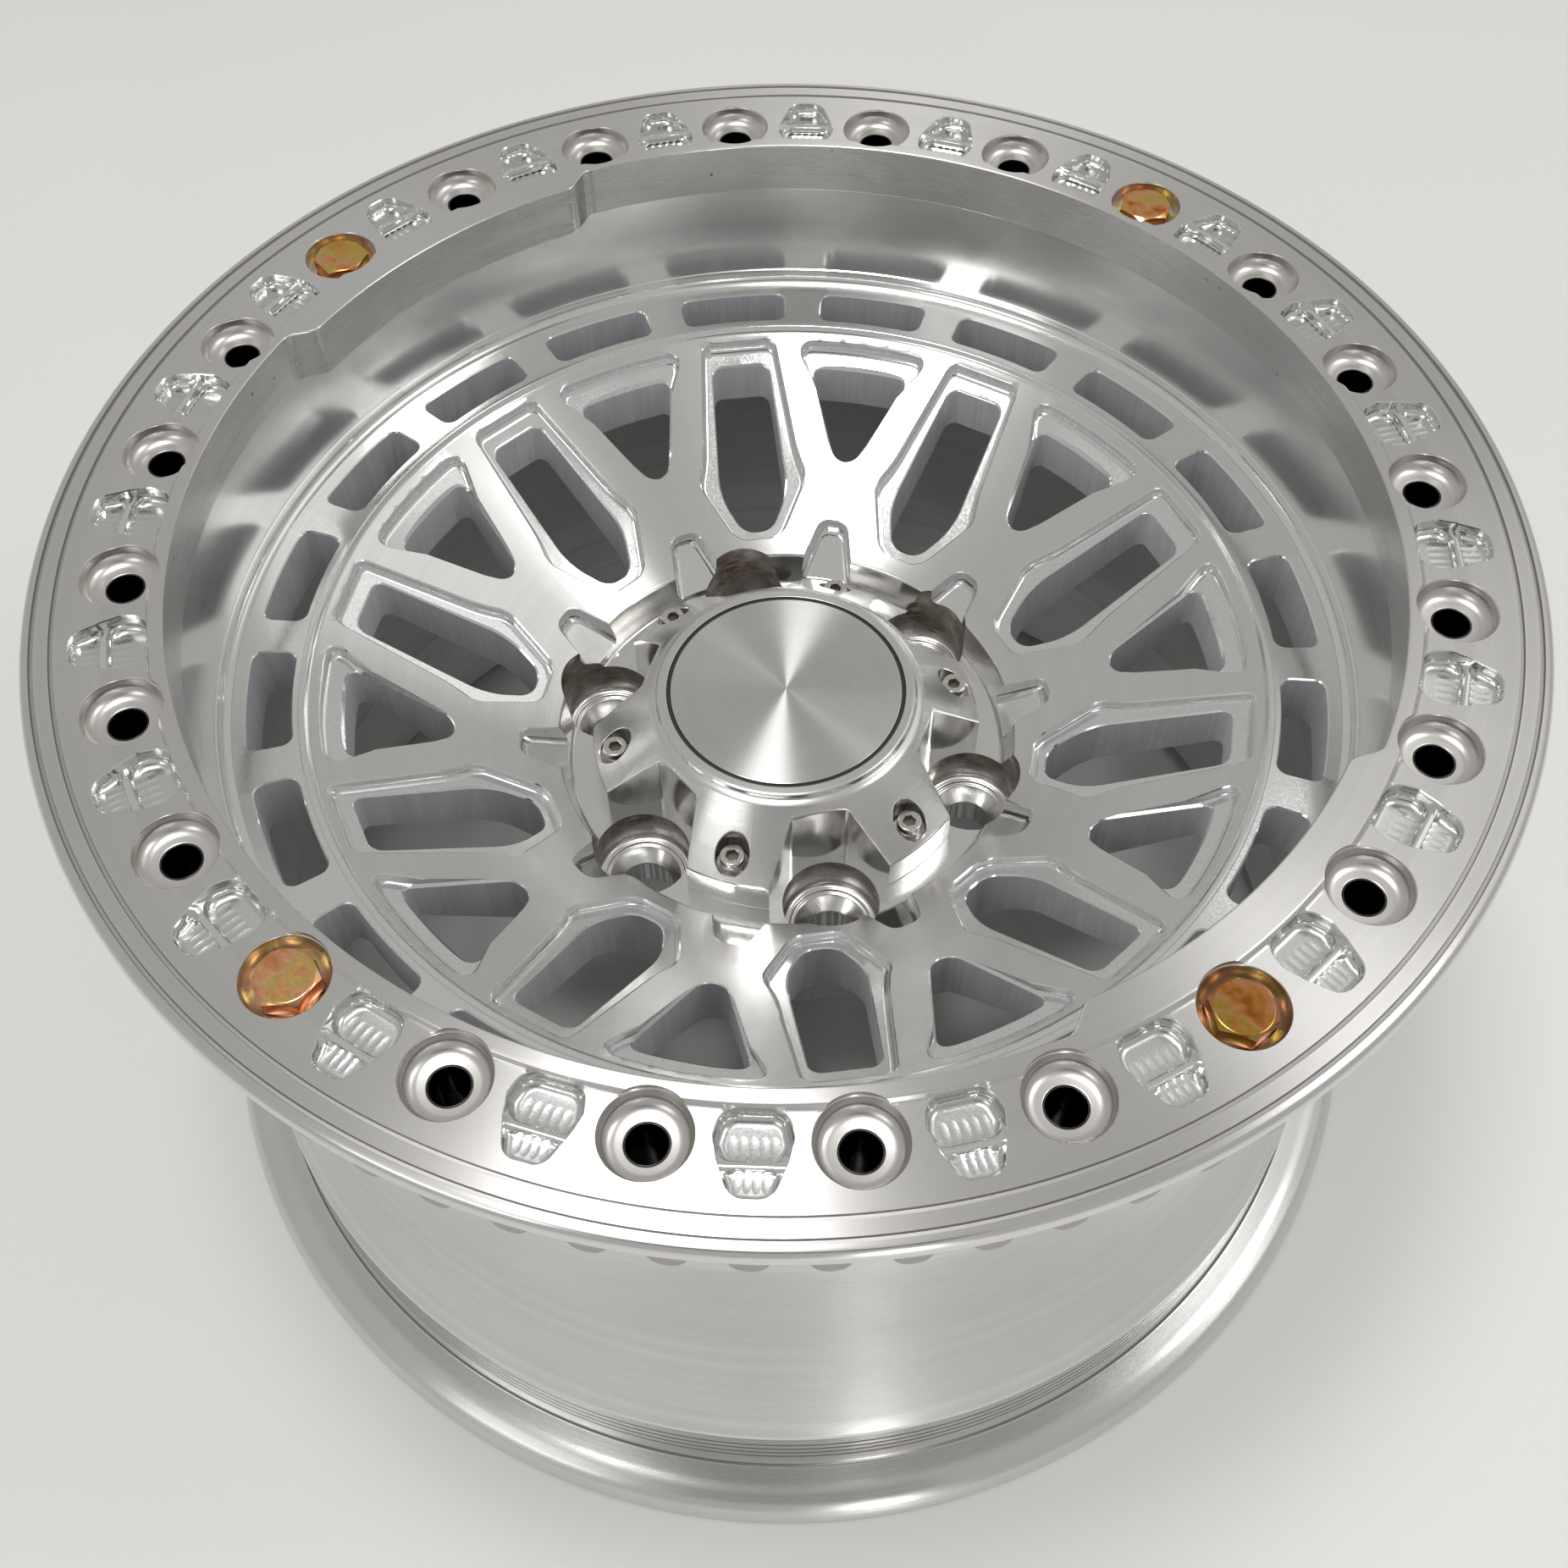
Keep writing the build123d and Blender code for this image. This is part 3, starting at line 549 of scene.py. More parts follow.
# Hex bolts with a washer face, and the black thread inserts of all the holes
def make_bolts():
    across_flats, washer, height = 17, 0.7, 5.6
    crown = turned("crown", [(0, washer), (17.0, washer), (8.1, 6.3, 0.3), (0, 6.3)], 64)
    head = draw("clamp_bolts", [
        (*on_circle(across_flats / math.sqrt(3), math.radians(a)), 0.35) for a in range(0, 360, 60)
    ], False, washer)
    bpy.ops.mesh.select_all(action="SELECT")
    bpy.ops.mesh.extrude_region_move(TRANSFORM_OT_translate={"value": (0, 0, height * MM)})
    close_up()
    cut(head, crown, way="INTERSECT")
    shank = turned("bolt_shank", [
        (0, 0.72), (8.4, 0.72, 0.15), (8.4, 0, 0.15), (4.95, 0, 0.2), (4.95, -30, 0.8), (0, -30),
    ], 48)
    bolt = joined(head, shank)
    smooth(bolt)
    copies = [bolt]
    for _ in FITTED[1:]:
        copy = bpy.data.objects.new("bolt_copy", bolt.data.copy())
        bpy.context.scene.collection.objects.link(copy)
        copies.append(copy)
    for copy, angle, turn in zip(copies, FITTED, HEAD_TURNS):
        move(copy, spin=turn)
        move(copy, BOLT_R, 0, SEAT_Z, angle)
    bolts = joined(*copies)
    stands_for(bolts, "beadlock_bolts")
    return bolts


def make_inserts():
    """Sleeves with plain rings in place of a thread."""
    low, high, pitch, crest, root = 235.5, 267.6, 2.0, 5.0, 5.45
    rings = []
    level = low
    while level + pitch <= high:
        rings += [(crest, level), (root, level + pitch / 2)]
        level += pitch
    corners = [(6.0, INSERT_FOOT_Z, 0.3), (6.0, SEAT_Z, 0.2), (5.6, SEAT_Z, 0.2)] + rings[::-1]
    corners.append((5.4, INSERT_FOOT_Z))
    insert = turned("insert_sleeves", corners, 28)
    smooth(insert, 50)
    move(insert, BOLT_R, 0, 0, BOLT_START)
    round_axis(insert, BOLTS)
    stands_for(insert, "thread_inserts")
    return insert


# Centre cap with six legs, its turned disc, the black ring round it and the socket screws
def make_cap():
    cap = turned("cap_body", [
        (0, 180.8), (36.0, 180.8), (36.0, WELL_Z, 0.4), (CAP_R, WELL_Z, 0.5), (CAP_R, CAP_EDGE_Z, 0.7),
        (48.6, 190.5, 1.0), (46.5, 191.0, 0.5), (CAP_RIM_R, 192.6, 0.3), (45.2, CAP_TOP, 0.25),
        (42.55, CAP_TOP, 0.2), (42.55, DISC_FOOT_Z), (0, DISC_FOOT_Z),
    ], 192)

    def on_cap_cone(radius, height):
        return CAP_TOP - (radius - CAP_RIM_R) * CAP_SLOPE + height

    chamfer, above = 0.9, 20.0
    chamfered = [(0, above - chamfer / 2), (chamfer, chamfer)]
    back, half, far, flare = 51.4 - chamfer, 10.0 + 0.51 * chamfer, 75.0, math.tan(math.radians(36))
    side = [(back + (far - back) * share, half + (far - back) * share * flare)
            for share in (1, 0.75, 0.5, 0.25)]
    rear = [(back, half * share) for share in (0.6, 0.3, 0, -0.3, -0.6)]
    notch = sunk("notch", side + [(back, half, 1.4)] + rear + [(back, -half, 1.4)]
                 + [(x, -y) for x, y in reversed(side)], above, chamfered + [(0, 45)])
    lay_on(notch, on_cap_cone)
    move(notch, spin=LUG_START)
    round_axis(notch, LUGS)
    cut(cap, notch)
    recess_rim = [on_circle(RECESS_R + 0.75, FULL * i / 48) for i in range(48)]
    rim = sunk("recess_rim", [(SCREW_R + x, y) for x, y in recess_rim], above, chamfered)
    lay_on(rim, on_cap_cone)
    round_axis(rim, LUGS)
    cut(cap, rim)
    recess = turned("screw_recess", [
        (0, 205), (RECESS_R, 205), (RECESS_R, SCREW_SEAT_Z, 0.6), (SCREW_HOLE_R, SCREW_SEAT_Z, 0.2),
        (SCREW_HOLE_R, 150), (0, 150),
    ], 48)
    move(recess, SCREW_R)
    round_axis(recess, LUGS)
    cut(cap, recess)
    smooth(cap)
    stands_for(cap, "centre_cap")
    return cap


def make_disc():
    radius = 41.2
    disc = turned("cap_face_disc", [
        (0, DISC_FOOT_Z), (radius, DISC_FOOT_Z, 0.2), (radius, CAP_TOP, 0.4), (0, CAP_TOP),
    ], 192)
    smooth(disc)
    stands_for(disc, "cap_disc")
    return disc


def make_seal():
    inner, outer, top = 41.25, 42.5, 192.5
    seal = turned("cap_seal_ring", [
        (inner, DISC_FOOT_Z), (outer, DISC_FOOT_Z), (outer, top, 0.45), (inner, top, 0.45),
    ], 192)
    smooth(seal)
    stands_for(seal, "cap_seal")
    return seal


def make_screws():
    head, height, shank, length, key = 4.4, 5.0, 2.45, 27, 4.0
    screw = turned("cap_socket_screws", [
        (0, height), (head, height, 0.5), (head, 0, 0.2),
        (shank, 0, 0.2), (shank, -length, 0.5), (0, -length),
    ], 48)
    socket = sunk("socket", [
        on_circle(1.25 * key / math.sqrt(3), math.radians(a)) for a in range(0, 360, 60)
    ], height + 0.25, [(0.5, 0.5), (0, 2.1)])
    cut(screw, socket)
    smooth(screw)
    move(screw, SCREW_R, 0, SCREW_SEAT_Z)
    round_axis(screw, LUGS)
    stands_for(screw, "cap_screws")
    return screw


ring = make_ring()
wheel = make_wheel()
bolts = make_bolts()
inserts = make_inserts()
cap = make_cap()
disc = make_disc()
seal = make_seal()
screws = make_screws()


# Finishes: shared marks as node groups, one material for each kind of surface
def start_group(name, inputs, outputs):
    tree = bpy.data.node_groups.new(name, "ShaderNodeTree")
    for label, value in inputs:
        tree.interface.new_socket(label, in_out="INPUT", socket_type="NodeSocketFloat").default_value = value
    for label, kind in outputs:
        tree.interface.new_socket(label, in_out="OUTPUT", socket_type=kind)
    return tree, tree.nodes.new("NodeGroupInput"), tree.nodes.new("NodeGroupOutput")


def plug(tree, source, socket):
    """Links a source, or sets a plain number or colour."""
    if isinstance(source, bpy.types.NodeSocket):
        tree.links.new(source, socket)
    else:
        socket.default_value = source


def calc(tree, operation, *terms):
    """One step of arithmetic on values."""
    node = tree.nodes.new("ShaderNodeMath")
    node.operation = operation
    for term, socket in zip(terms, node.inputs):
        plug(tree, term, socket)
    return node.outputs[0]


def spread(tree, value, low, high, new_low=0.0, new_high=1.0):
    """Maps a range of values onto another, held at its ends."""
    node = tree.nodes.new("ShaderNodeMapRange")
    for source, socket in zip((value, low, high, new_low, new_high), node.inputs):
        plug(tree, source, socket)
    return node.outputs[0]


def blend(tree, share, first, second):
    """Mixes two colours by a share of the second."""
    node = tree.nodes.new("ShaderNodeMix")
    node.data_type = "RGBA"
    plug(tree, share, node.inputs["Factor"])
    for colour, socket in ((first, node.inputs[6]), (second, node.inputs[7])):
        plug(tree, colour if isinstance(colour, bpy.types.NodeSocket) else (*colour, 1), socket)
    return node.outputs[2]


def noise(tree, scale, detail, vector=None, along=None):
    """Cloudy noise in space, or along one line when a value is given."""
    node = tree.nodes.new("ShaderNodeTexNoise")
    node.inputs["Scale"].default_value = scale
    node.inputs["Detail"].default_value = detail
    node.inputs["Roughness"].default_value = 0.65
    if along is not None:
        node.noise_dimensions = "1D"
        plug(tree, along, node.inputs["W"])
    else:
        plug(tree, vector, node.inputs["Vector"])
    return node.outputs[0]


def own_place(tree):
    """Place in the piece's own frame."""
    return tree.nodes.new("ShaderNodeTexCoord").outputs["Object"]


def stretched(tree, factors):
    """Own place with each axis scaled, for marks that run one way."""
    node = tree.nodes.new("ShaderNodeVectorMath")
    node.operation = "MULTIPLY"
    plug(tree, own_place(tree), node.inputs[0])
    node.inputs[1].default_value = factors
    return node.outputs[0]


def own_axes(tree):
    """Own place as three values."""
    axes = tree.nodes.new("ShaderNodeSeparateXYZ")
    plug(tree, own_place(tree), axes.inputs[0])
    return axes.outputs


def plan_length(tree, a, b):
    """Length of a plan vector."""
    return calc(tree, "SQRT", calc(tree, "ADD", calc(tree, "MULTIPLY", a, a), calc(tree, "MULTIPLY", b, b)))


def weighed(tree, *pairs):
    """Sum of values, each with its weight."""
    parts = [calc(tree, "MULTIPLY", value, weight) for value, weight in pairs]
    total = parts[0]
    for part in parts[1:]:
        total = calc(tree, "ADD", total, part)
    return total


VALUE, COLOUR = "NodeSocketFloat", "NodeSocketColor"


def make_place_group():
    """Place round the wheel's axis."""
    tree, _, end = start_group("axis_place", (), (("Radius", VALUE), ("Height", VALUE), ("Along", VALUE)))
    x, y, z = own_axes(tree)
    radius = plan_length(tree, x, y)
    plug(tree, radius, end.inputs["Radius"])
    plug(tree, z, end.inputs["Height"])
    plug(tree, calc(tree, "ADD", radius, z), end.inputs["Along"])
    return tree


def make_seat_place_group():
    """Distance along the wall and floor of the nearest bolt seat."""
    tree, _, end = start_group("seat_place", (), (("Along", VALUE),))
    x, y, z = own_axes(tree)
    radius = plan_length(tree, x, y)
    pitch = FULL / BOLTS
    turn = calc(tree, "ADD", calc(tree, "ARCTAN2", y, x), pitch / 2 - math.radians(BOLT_START))
    off = calc(tree, "SUBTRACT", calc(tree, "FLOORED_MODULO", turn, pitch), pitch / 2)
    out = calc(tree, "SUBTRACT", calc(tree, "MULTIPLY", radius, calc(tree, "COSINE", off)), BOLT_R * MM)
    side = calc(tree, "MULTIPLY", radius, calc(tree, "SINE", off))
    plug(tree, calc(tree, "ADD", plan_length(tree, out, side), z), end.inputs["Along"])
    return tree


def make_turning_group():
    """Fine lines left by the lathe tool, with broad bands and faint patches."""
    tree, begin, end = start_group("turned_lines", (("Across", 0.0), ("Fineness", 2600.0)),
                                   (("Tone", VALUE), ("Height", VALUE)))
    across = begin.outputs["Across"]
    fine = noise(tree, 1.0, 3, along=calc(tree, "MULTIPLY", across, begin.outputs["Fineness"]))
    broad = noise(tree, 160.0, 2, along=across)
    patch = noise(tree, 26.0, 1, vector=own_place(tree))
    plug(tree, weighed(tree, (fine, 0.5), (broad, 0.3), (patch, 0.2)), end.inputs["Tone"])
    plug(tree, fine, end.inputs["Height"])
    return tree


def make_wear_group():
    """Soft mottling of handled metal and small dark specks in patches."""
    tree, _, end = start_group("handling_wear", (), (("Mottle", VALUE), ("Specks", VALUE)))
    plug(tree, noise(tree, 34.0, 2, vector=own_place(tree)), end.inputs["Mottle"])
    cells = tree.nodes.new("ShaderNodeTexVoronoi")
    cells.inputs["Scale"].default_value = 105.0
    plug(tree, own_place(tree), cells.inputs["Vector"])
    dots = spread(tree, cells.outputs["Distance"], 0.05, 0.085, 1.0, 0.0)
    patchy = spread(tree, noise(tree, 21.0, 2, vector=own_place(tree)), 0.5, 0.6)
    plug(tree, calc(tree, "MULTIPLY", dots, patchy), end.inputs["Specks"])
    return tree


def make_streak_group():
    """Upright streaks of an end mill."""
    tree, _, end = start_group("mill_streaks", (), (("Tone", VALUE), ("Height", VALUE)))
    fine = noise(tree, 1.0, 2, vector=stretched(tree, (620, 620, 22)))
    broad = noise(tree, 1.0, 1, vector=stretched(tree, (130, 130, 30)))
    plug(tree, weighed(tree, (fine, 0.6), (broad, 0.4)), end.inputs["Tone"])
    plug(tree, fine, end.inputs["Height"])
    return tree


def make_ball_group():
    """Frosting of a ball mill."""
    tree, _, end = start_group("ball_mill_marks", (), (("Tone", VALUE), ("Height", VALUE)))
    fine = noise(tree, 1300.0, 1, vector=own_place(tree))
    plug(tree, fine, end.inputs["Tone"])
    plug(tree, fine, end.inputs["Height"])
    return tree


def make_burn_group():
    """Burnt streaks round a bore, ending above its seat."""
    tree, begin, end = start_group("burnt_bore", (("Height", 0.16), ("Radius", 0.07)),
                                   (("Char", VALUE), ("Tone", VALUE)))
    bands = noise(tree, 1.0, 3, vector=stretched(tree, (120, 120, 700)))
    cloud = noise(tree, 95.0, 2, vector=own_place(tree))
    outward = calc(tree, "MULTIPLY", calc(tree, "SUBTRACT", begin.outputs["Radius"], LUG_R * MM), 0.25)
    rise = spread(tree, calc(tree, "ADD", begin.outputs["Height"], outward), 0.1465, 0.1515)
    char = calc(tree, "MULTIPLY", rise, spread(tree, calc(tree, "ADD", cloud, bands), 0.66, 1.06))
    plug(tree, char, end.inputs["Char"])
    plug(tree, bands, end.inputs["Tone"])
    return tree


def make_plating_group():
    """Clouded yellow plating, browner toward +X and pinker toward -Y."""
    tree, _, end = start_group("yellow_plating", (), (("Colour", COLOUR), ("Tone", VALUE)))
    cloud = noise(tree, 95.0, 2, vector=own_place(tree))
    ramp = tree.nodes.new("ShaderNodeValToRGB")
    stops = ((0.30, (0.42, 0.13, 0.03)), (0.40, (0.80, 0.33, 0.09)), (0.48, (0.82, 0.42, 0.24)),
             (0.55, (0.62, 0.50, 0.09)), (0.63, (0.80, 0.38, 0.10)), (0.74, (0.42, 0.34, 0.07)))
    while len(ramp.color_ramp.elements) < len(stops):
        ramp.color_ramp.elements.new(0.5)
    for element, (place, colour) in zip(ramp.color_ramp.elements, stops):
        element.position = place
        element.color = (*colour, 1)
    plug(tree, cloud, ramp.inputs[0])
    x, y, _ = own_axes(tree)
    browner = blend(tree, spread(tree, x, 0.1, 0.2, 0.0, 0.5), ramp.outputs[0], (0.26, 0.09, 0.015))
    pinker = blend(tree, spread(tree, y, -0.12, -0.2, 0.0, 0.25), browner, (0.88, 0.50, 0.36))
    plug(tree, pinker, end.inputs["Colour"])
    plug(tree, noise(tree, 700.0, 2, vector=own_place(tree)), end.inputs["Tone"])
    return tree


AXIS_PLACE = make_place_group()
SEAT_PLACE = make_seat_place_group()
TURNING = make_turning_group()
WEAR = make_wear_group()
STREAKS = make_streak_group()
BALL_MARKS = make_ball_group()
BURN = make_burn_group()
PLATING = make_plating_group()


def use(tree, kind):
    """Places a shared group in a material."""
    node = tree.nodes.new("ShaderNodeGroup")
    node.node_tree = kind
    return node


def material(name, roughness, metallic=1.0, brushed=0.0):
    """A material whose shader can stretch its highlight across turned lines."""
    new = bpy.data.materials.new(name)
    new.use_nodes = True
    tree = new.node_tree
    shader = tree.nodes["Principled BSDF"]
    shader.inputs["Metallic"].default_value = metallic
    shader.inputs["Roughness"].default_value = roughness
    if brushed:
        tangent = tree.nodes.new("ShaderNodeTangent")
        tangent.direction_type = "RADIAL"
        tangent.axis = "Z"
        plug(tree, tangent.outputs[0], shader.inputs["Tangent"])
        shader.inputs["Anisotropic"].default_value = brushed
        shader.inputs["Anisotropic Rotation"].default_value = 0.25
    return new, tree, shader


def bump(tree, shader, height, strength, distance):
    """Fine relief of a finish."""
    node = tree.nodes.new("ShaderNodeBump")
    node.inputs["Strength"].default_value = strength
    node.inputs["Distance"].default_value = distance
    plug(tree, height, node.inputs["Height"])
    plug(tree, node.outputs[0], shader.inputs["Normal"])


def turned_metal(name, light, dark, smooth_to, rough_to, brushed, across="Along", fineness=2600.0,
                 relief=0.12, specks=0.0, about=AXIS_PLACE):
    """Bare metal with lathe lines along one measure of its place."""
    new, tree, shader = material(name, rough_to, brushed=brushed)
    place, lines, wear = use(tree, about), use(tree, TURNING), use(tree, WEAR)
    plug(tree, place.outputs[across], lines.inputs["Across"])
    lines.inputs["Fineness"].default_value = fineness
    tone = spread(tree, lines.outputs["Tone"], 0.3, 0.7)
    colour = blend(tree, tone, dark, light)
    if specks:
        dirt = calc(tree, "MULTIPLY", wear.outputs["Specks"], specks)
        colour = blend(tree, dirt, colour, (0.07, 0.06, 0.05))
    plug(tree, colour, shader.inputs["Base Color"])
    soft = weighed(tree, (tone, 0.6), (wear.outputs["Mottle"], 0.4))
    plug(tree, spread(tree, soft, 0.2, 0.8, rough_to, smooth_to), shader.inputs["Roughness"])
    bump(tree, shader, lines.outputs["Height"], relief, 0.00004)
    return new


def milled_metal(name, light, dark, smooth_to, rough_to, marks, relief, metallic=1.0):
    """Bare metal with a mill's marks; less metallic where it is dull and scatters light."""
    new, tree, shader = material(name, rough_to, metallic)
    cutter = use(tree, marks)
    wear = use(tree, WEAR)
    tone = spread(tree, cutter.outputs["Tone"], 0.3, 0.7)
    plug(tree, blend(tree, tone, dark, light), shader.inputs["Base Color"])
    soft = weighed(tree, (tone, 0.5), (wear.outputs["Mottle"], 0.5))
    plug(tree, spread(tree, soft, 0.25, 0.75, rough_to, smooth_to), shader.inputs["Roughness"])
    bump(tree, shader, cutter.outputs["Height"], relief, 0.0001)
    return new


def burnt_metal(name):
    """Bright metal with burnt streaks above the lug seats."""
    new, tree, shader = material(name, 0.4)
    place, burn = use(tree, AXIS_PLACE), use(tree, BURN)
    plug(tree, place.outputs["Height"], burn.inputs["Height"])
    plug(tree, place.outputs["Radius"], burn.inputs["Radius"])
    char = burn.outputs["Char"]
    streak = spread(tree, burn.outputs["Tone"], 0.35, 0.65)
    soot = blend(tree, streak, (0.05, 0.042, 0.036), (0.52, 0.43, 0.36))
    plug(tree, blend(tree, char, (0.74, 0.72, 0.69), soot), shader.inputs["Base Color"])
    plug(tree, spread(tree, char, 0.0, 1.0, 0.2, 0.46), shader.inputs["Roughness"])
    bump(tree, shader, burn.outputs["Tone"], 0.5, 0.0002)
    return new


def plated_metal(name):
    """Steel with yellow plating."""
    new, tree, shader = material(name, 0.24)
    plating = use(tree, PLATING)
    plug(tree, plating.outputs["Colour"], shader.inputs["Base Color"])
    plug(tree, spread(tree, plating.outputs["Tone"], 0.3, 0.7, 0.15, 0.26), shader.inputs["Roughness"])
    bump(tree, shader, plating.outputs["Tone"], 0.12, 0.0001)
    return new


def dark_solid(name, light, dark, smooth_to, rough_to, metallic):
    """Dark steel, rubber, and the painted shade inside the screw sockets, with faint dust in its tone."""
    new, tree, shader = material(name, rough_to, metallic)
    wear = use(tree, WEAR)
    mottle = wear.outputs["Mottle"]
    plug(tree, blend(tree, mottle, dark, light), shader.inputs["Base Color"])
    plug(tree, spread(tree, mottle, 0.3, 0.7, rough_to, smooth_to), shader.inputs["Roughness"])
    return new


def dress(piece, plain, *special):
    """Gives each face the first finish whose test passes its radius, angle, height and normal."""
    piece.data.materials.clear()
    piece.data.materials.append(plain)
    for finish, _ in special:
        piece.data.materials.append(finish)
    for face in piece.data.polygons:
        x, y, z = face.center / MM
        spot = (math.hypot(x, y), math.degrees(math.atan2(y, x)), z, face.normal)
        face.material_index = next((at + 1 for at, (_, test) in enumerate(special) if test(*spot)), 0)


def off_centre(radius, angle, at_radius, start, count):
    """Place along and across the radius from the nearest of evenly spaced centres."""
    pitch = 360 / count
    off = math.radians((angle - start + pitch / 2) % pitch - pitch / 2)
    return radius * math.cos(off) - at_radius, radius * math.sin(off)


def from_lug(radius, angle):
    """Distance from the axis of the nearest lug bore."""
    return math.hypot(*off_centre(radius, angle, LUG_R, LUG_START, LUGS))


def from_screw(radius, angle):
    """Distance from the axis of the nearest cap screw."""
    return math.hypot(*off_centre(radius, angle, SCREW_R, 0, LUGS))


# Tests that say where a face lies, from its radius, angle, height and normal
def in_bolt_seat(radius, angle, z, normal):
    off = math.hypot(*off_centre(radius, angle, BOLT_R, BOLT_START, BOLTS))
    return off < SEAT_EDGE_R and z < FACE_Z - 0.02


def in_ring_pocket(radius, angle, z, normal):
    along, across = off_centre(radius, angle, BOLT_R, 0, BOLTS)
    return -11.5 < along < 15.5 and abs(across) < 11.6 and 262 < z < FACE_Z - 0.02


def on_pocket_floor(radius, angle, z, normal):
    return normal.z > 0.8 and z < FACE_Z - 3.6 and in_ring_pocket(radius, angle, z, normal)


def in_lug_bore(radius, angle, z, normal):
    return from_lug(radius, angle) < LUG_BORE_R + 0.2 and abs(normal.z) < 0.5 and z > 144


def in_lug_seat(radius, angle, z, normal):
    return from_lug(radius, angle) < LUG_BORE_R + 0.2 and 130 < z <= 144 and normal.z > -0.3


# Where the cap's screw recesses get their painted shade
def in_screw_recess(radius, angle, z, normal):
    return from_screw(radius, angle) < RECESS_R + 0.02


# Faces inside a screw's hex socket, which take the painted shade
def in_socket(radius, angle, z, normal):
    return from_screw(radius, angle) < 2.5 and z < SCREW_SEAT_Z + 4.9


# Where the bead seat's grooves get their painted shade
def in_bead_groove(radius, angle, z, normal):
    in_line = 18.4 < z < 31.9 and radius < bead_seat_radius(z) - 0.15
    return radius > 213 and (11.6 < z < 13.4 or 36.8 < z < 39.4 or in_line)


def on_bead_seat(radius, angle, z, normal):
    return radius > 213 and 12.5 <= z < 43


def on_spoke_face(radius, angle, z, normal):
    return WALL_R < radius < SPOKE_R and normal.z > 0.8 and abs(z - spoke_height(radius)) < 0.6


def in_window(radius, angle, z, normal):
    below_face = z < min(VENT_Z, spoke_height(radius) - 0.5)
    return RIM_R + 1 < radius < 187 and abs(normal.z) < 0.25 and below_face


def on_window_edge(radius, angle, z, normal):
    return WALL_R - 4 < radius < 187 and normal.z > 0.1 and z > spoke_height(radius) - 7


def on_dish(radius, angle, z, normal):
    return 164 < radius < 195.5 and z > VENT_Z - 0.4 and normal.z > -0.3


def in_hub(radius, angle, z, normal):
    return radius < WALL_R + 0.2 and z > 130 and normal.z > -0.3


def on_flange(radius, angle, z, normal):
    return radius > 209 and z < 12.5


def on_barrel(radius, angle, z, normal):
    return radius > 200 and z < RING_FOOT_Z


ring_face = turned_metal("ring_turned", (0.80, 0.785, 0.765), (0.70, 0.685, 0.665), 0.27, 0.34, 0.93,
                         across="Radius", relief=0.1)
ring_edge = turned_metal("ring_edges", (0.80, 0.79, 0.775), (0.66, 0.65, 0.64), 0.2, 0.3, 0.8,
                         relief=0.14, specks=0.8)
ring_rim = turned_metal("ring_rim", (0.82, 0.81, 0.795), (0.70, 0.69, 0.68), 0.16, 0.26, 0.7, relief=0.1)
# Painted shade: the ring's fine grooves are coloured darker to stand for the shade in them
groove = turned_metal("groove_shade", (0.56, 0.55, 0.54), (0.46, 0.45, 0.44), 0.3, 0.4, 0.3, relief=0.05)
# Painted shade: the bead seat's grooves are coloured near black to stand for the shade in them
seat_groove_painted_shade = turned_metal("seat_groove_painted_shade", (0.30, 0.29, 0.275), (0.22, 0.21, 0.20), 0.3, 0.4, 0.3, relief=0.05)
# Painted shade: the ring's underside and the low upright faces at its rim are coloured darker to stand for
# the shade under the ring; the dark specks are dirt
ring_under = turned_metal("ring_underside_painted_shade", (0.44, 0.425, 0.40), (0.34, 0.325, 0.30), 0.26, 0.36, 0.3,
                          specks=0.6)
pocket = milled_metal("pocket_milled", (0.88, 0.88, 0.87), (0.80, 0.80, 0.79), 0.1, 0.16, BALL_MARKS, 0.015)
pocket_floor = milled_metal("pocket_floor", (0.74, 0.74, 0.73), (0.66, 0.66, 0.65), 0.2, 0.28,
                            BALL_MARKS, 0.1)
seat_metal = turned_metal("seat_bored", (0.76, 0.74, 0.715), (0.66, 0.64, 0.615), 0.26, 0.32, 0.0,
                          relief=0.05, about=SEAT_PLACE)
barrel = turned_metal("barrel_turned", (0.80, 0.80, 0.785), (0.66, 0.66, 0.645), 0.24, 0.36, 0.9,
                      across="Height", fineness=2200.0, relief=0.2)
bead_seat = turned_metal("bead_seat_turned", (0.93, 0.92, 0.90), (0.80, 0.79, 0.77), 0.18, 0.28, 0.7,
                         across="Height", relief=0.1)
flange = turned_metal("flange_turned", (0.82, 0.82, 0.80), (0.72, 0.72, 0.705), 0.2, 0.32, 0.8, relief=0.16)
polished = turned_metal("dish_polished", (0.92, 0.915, 0.90), (0.84, 0.835, 0.825), 0.13, 0.21, 0.75,
                        relief=0.05)
satin = turned_metal("spoke_satin", (0.82, 0.81, 0.79), (0.74, 0.73, 0.71), 0.19, 0.26, 0.82,
                     across="Radius", relief=0.07)
wall = milled_metal("window_wall", (0.86, 0.875, 0.89), (0.68, 0.695, 0.715), 0.4, 0.54, STREAKS, 0.25,
                    metallic=0.5)
edge = milled_metal("window_edge", (0.90, 0.90, 0.89), (0.80, 0.80, 0.79), 0.1, 0.2, BALL_MARKS, 0.03)
hub = turned_metal("hub_machined", (0.86, 0.855, 0.84), (0.74, 0.735, 0.72), 0.12, 0.22, 0.5, relief=0.06)
burnt = burnt_metal("lug_bore_burnt")
back = turned_metal("back_turned", (0.64, 0.64, 0.63), (0.52, 0.52, 0.515), 0.32, 0.44, 0.4, relief=0.2)
cap_face = turned_metal("cap_turned", (0.80, 0.795, 0.78), (0.70, 0.695, 0.68), 0.22, 0.3, 0.6, relief=0.08)
cap_wall = milled_metal("cap_milled", (0.78, 0.775, 0.765), (0.66, 0.655, 0.645), 0.12, 0.22, STREAKS, 0.05)
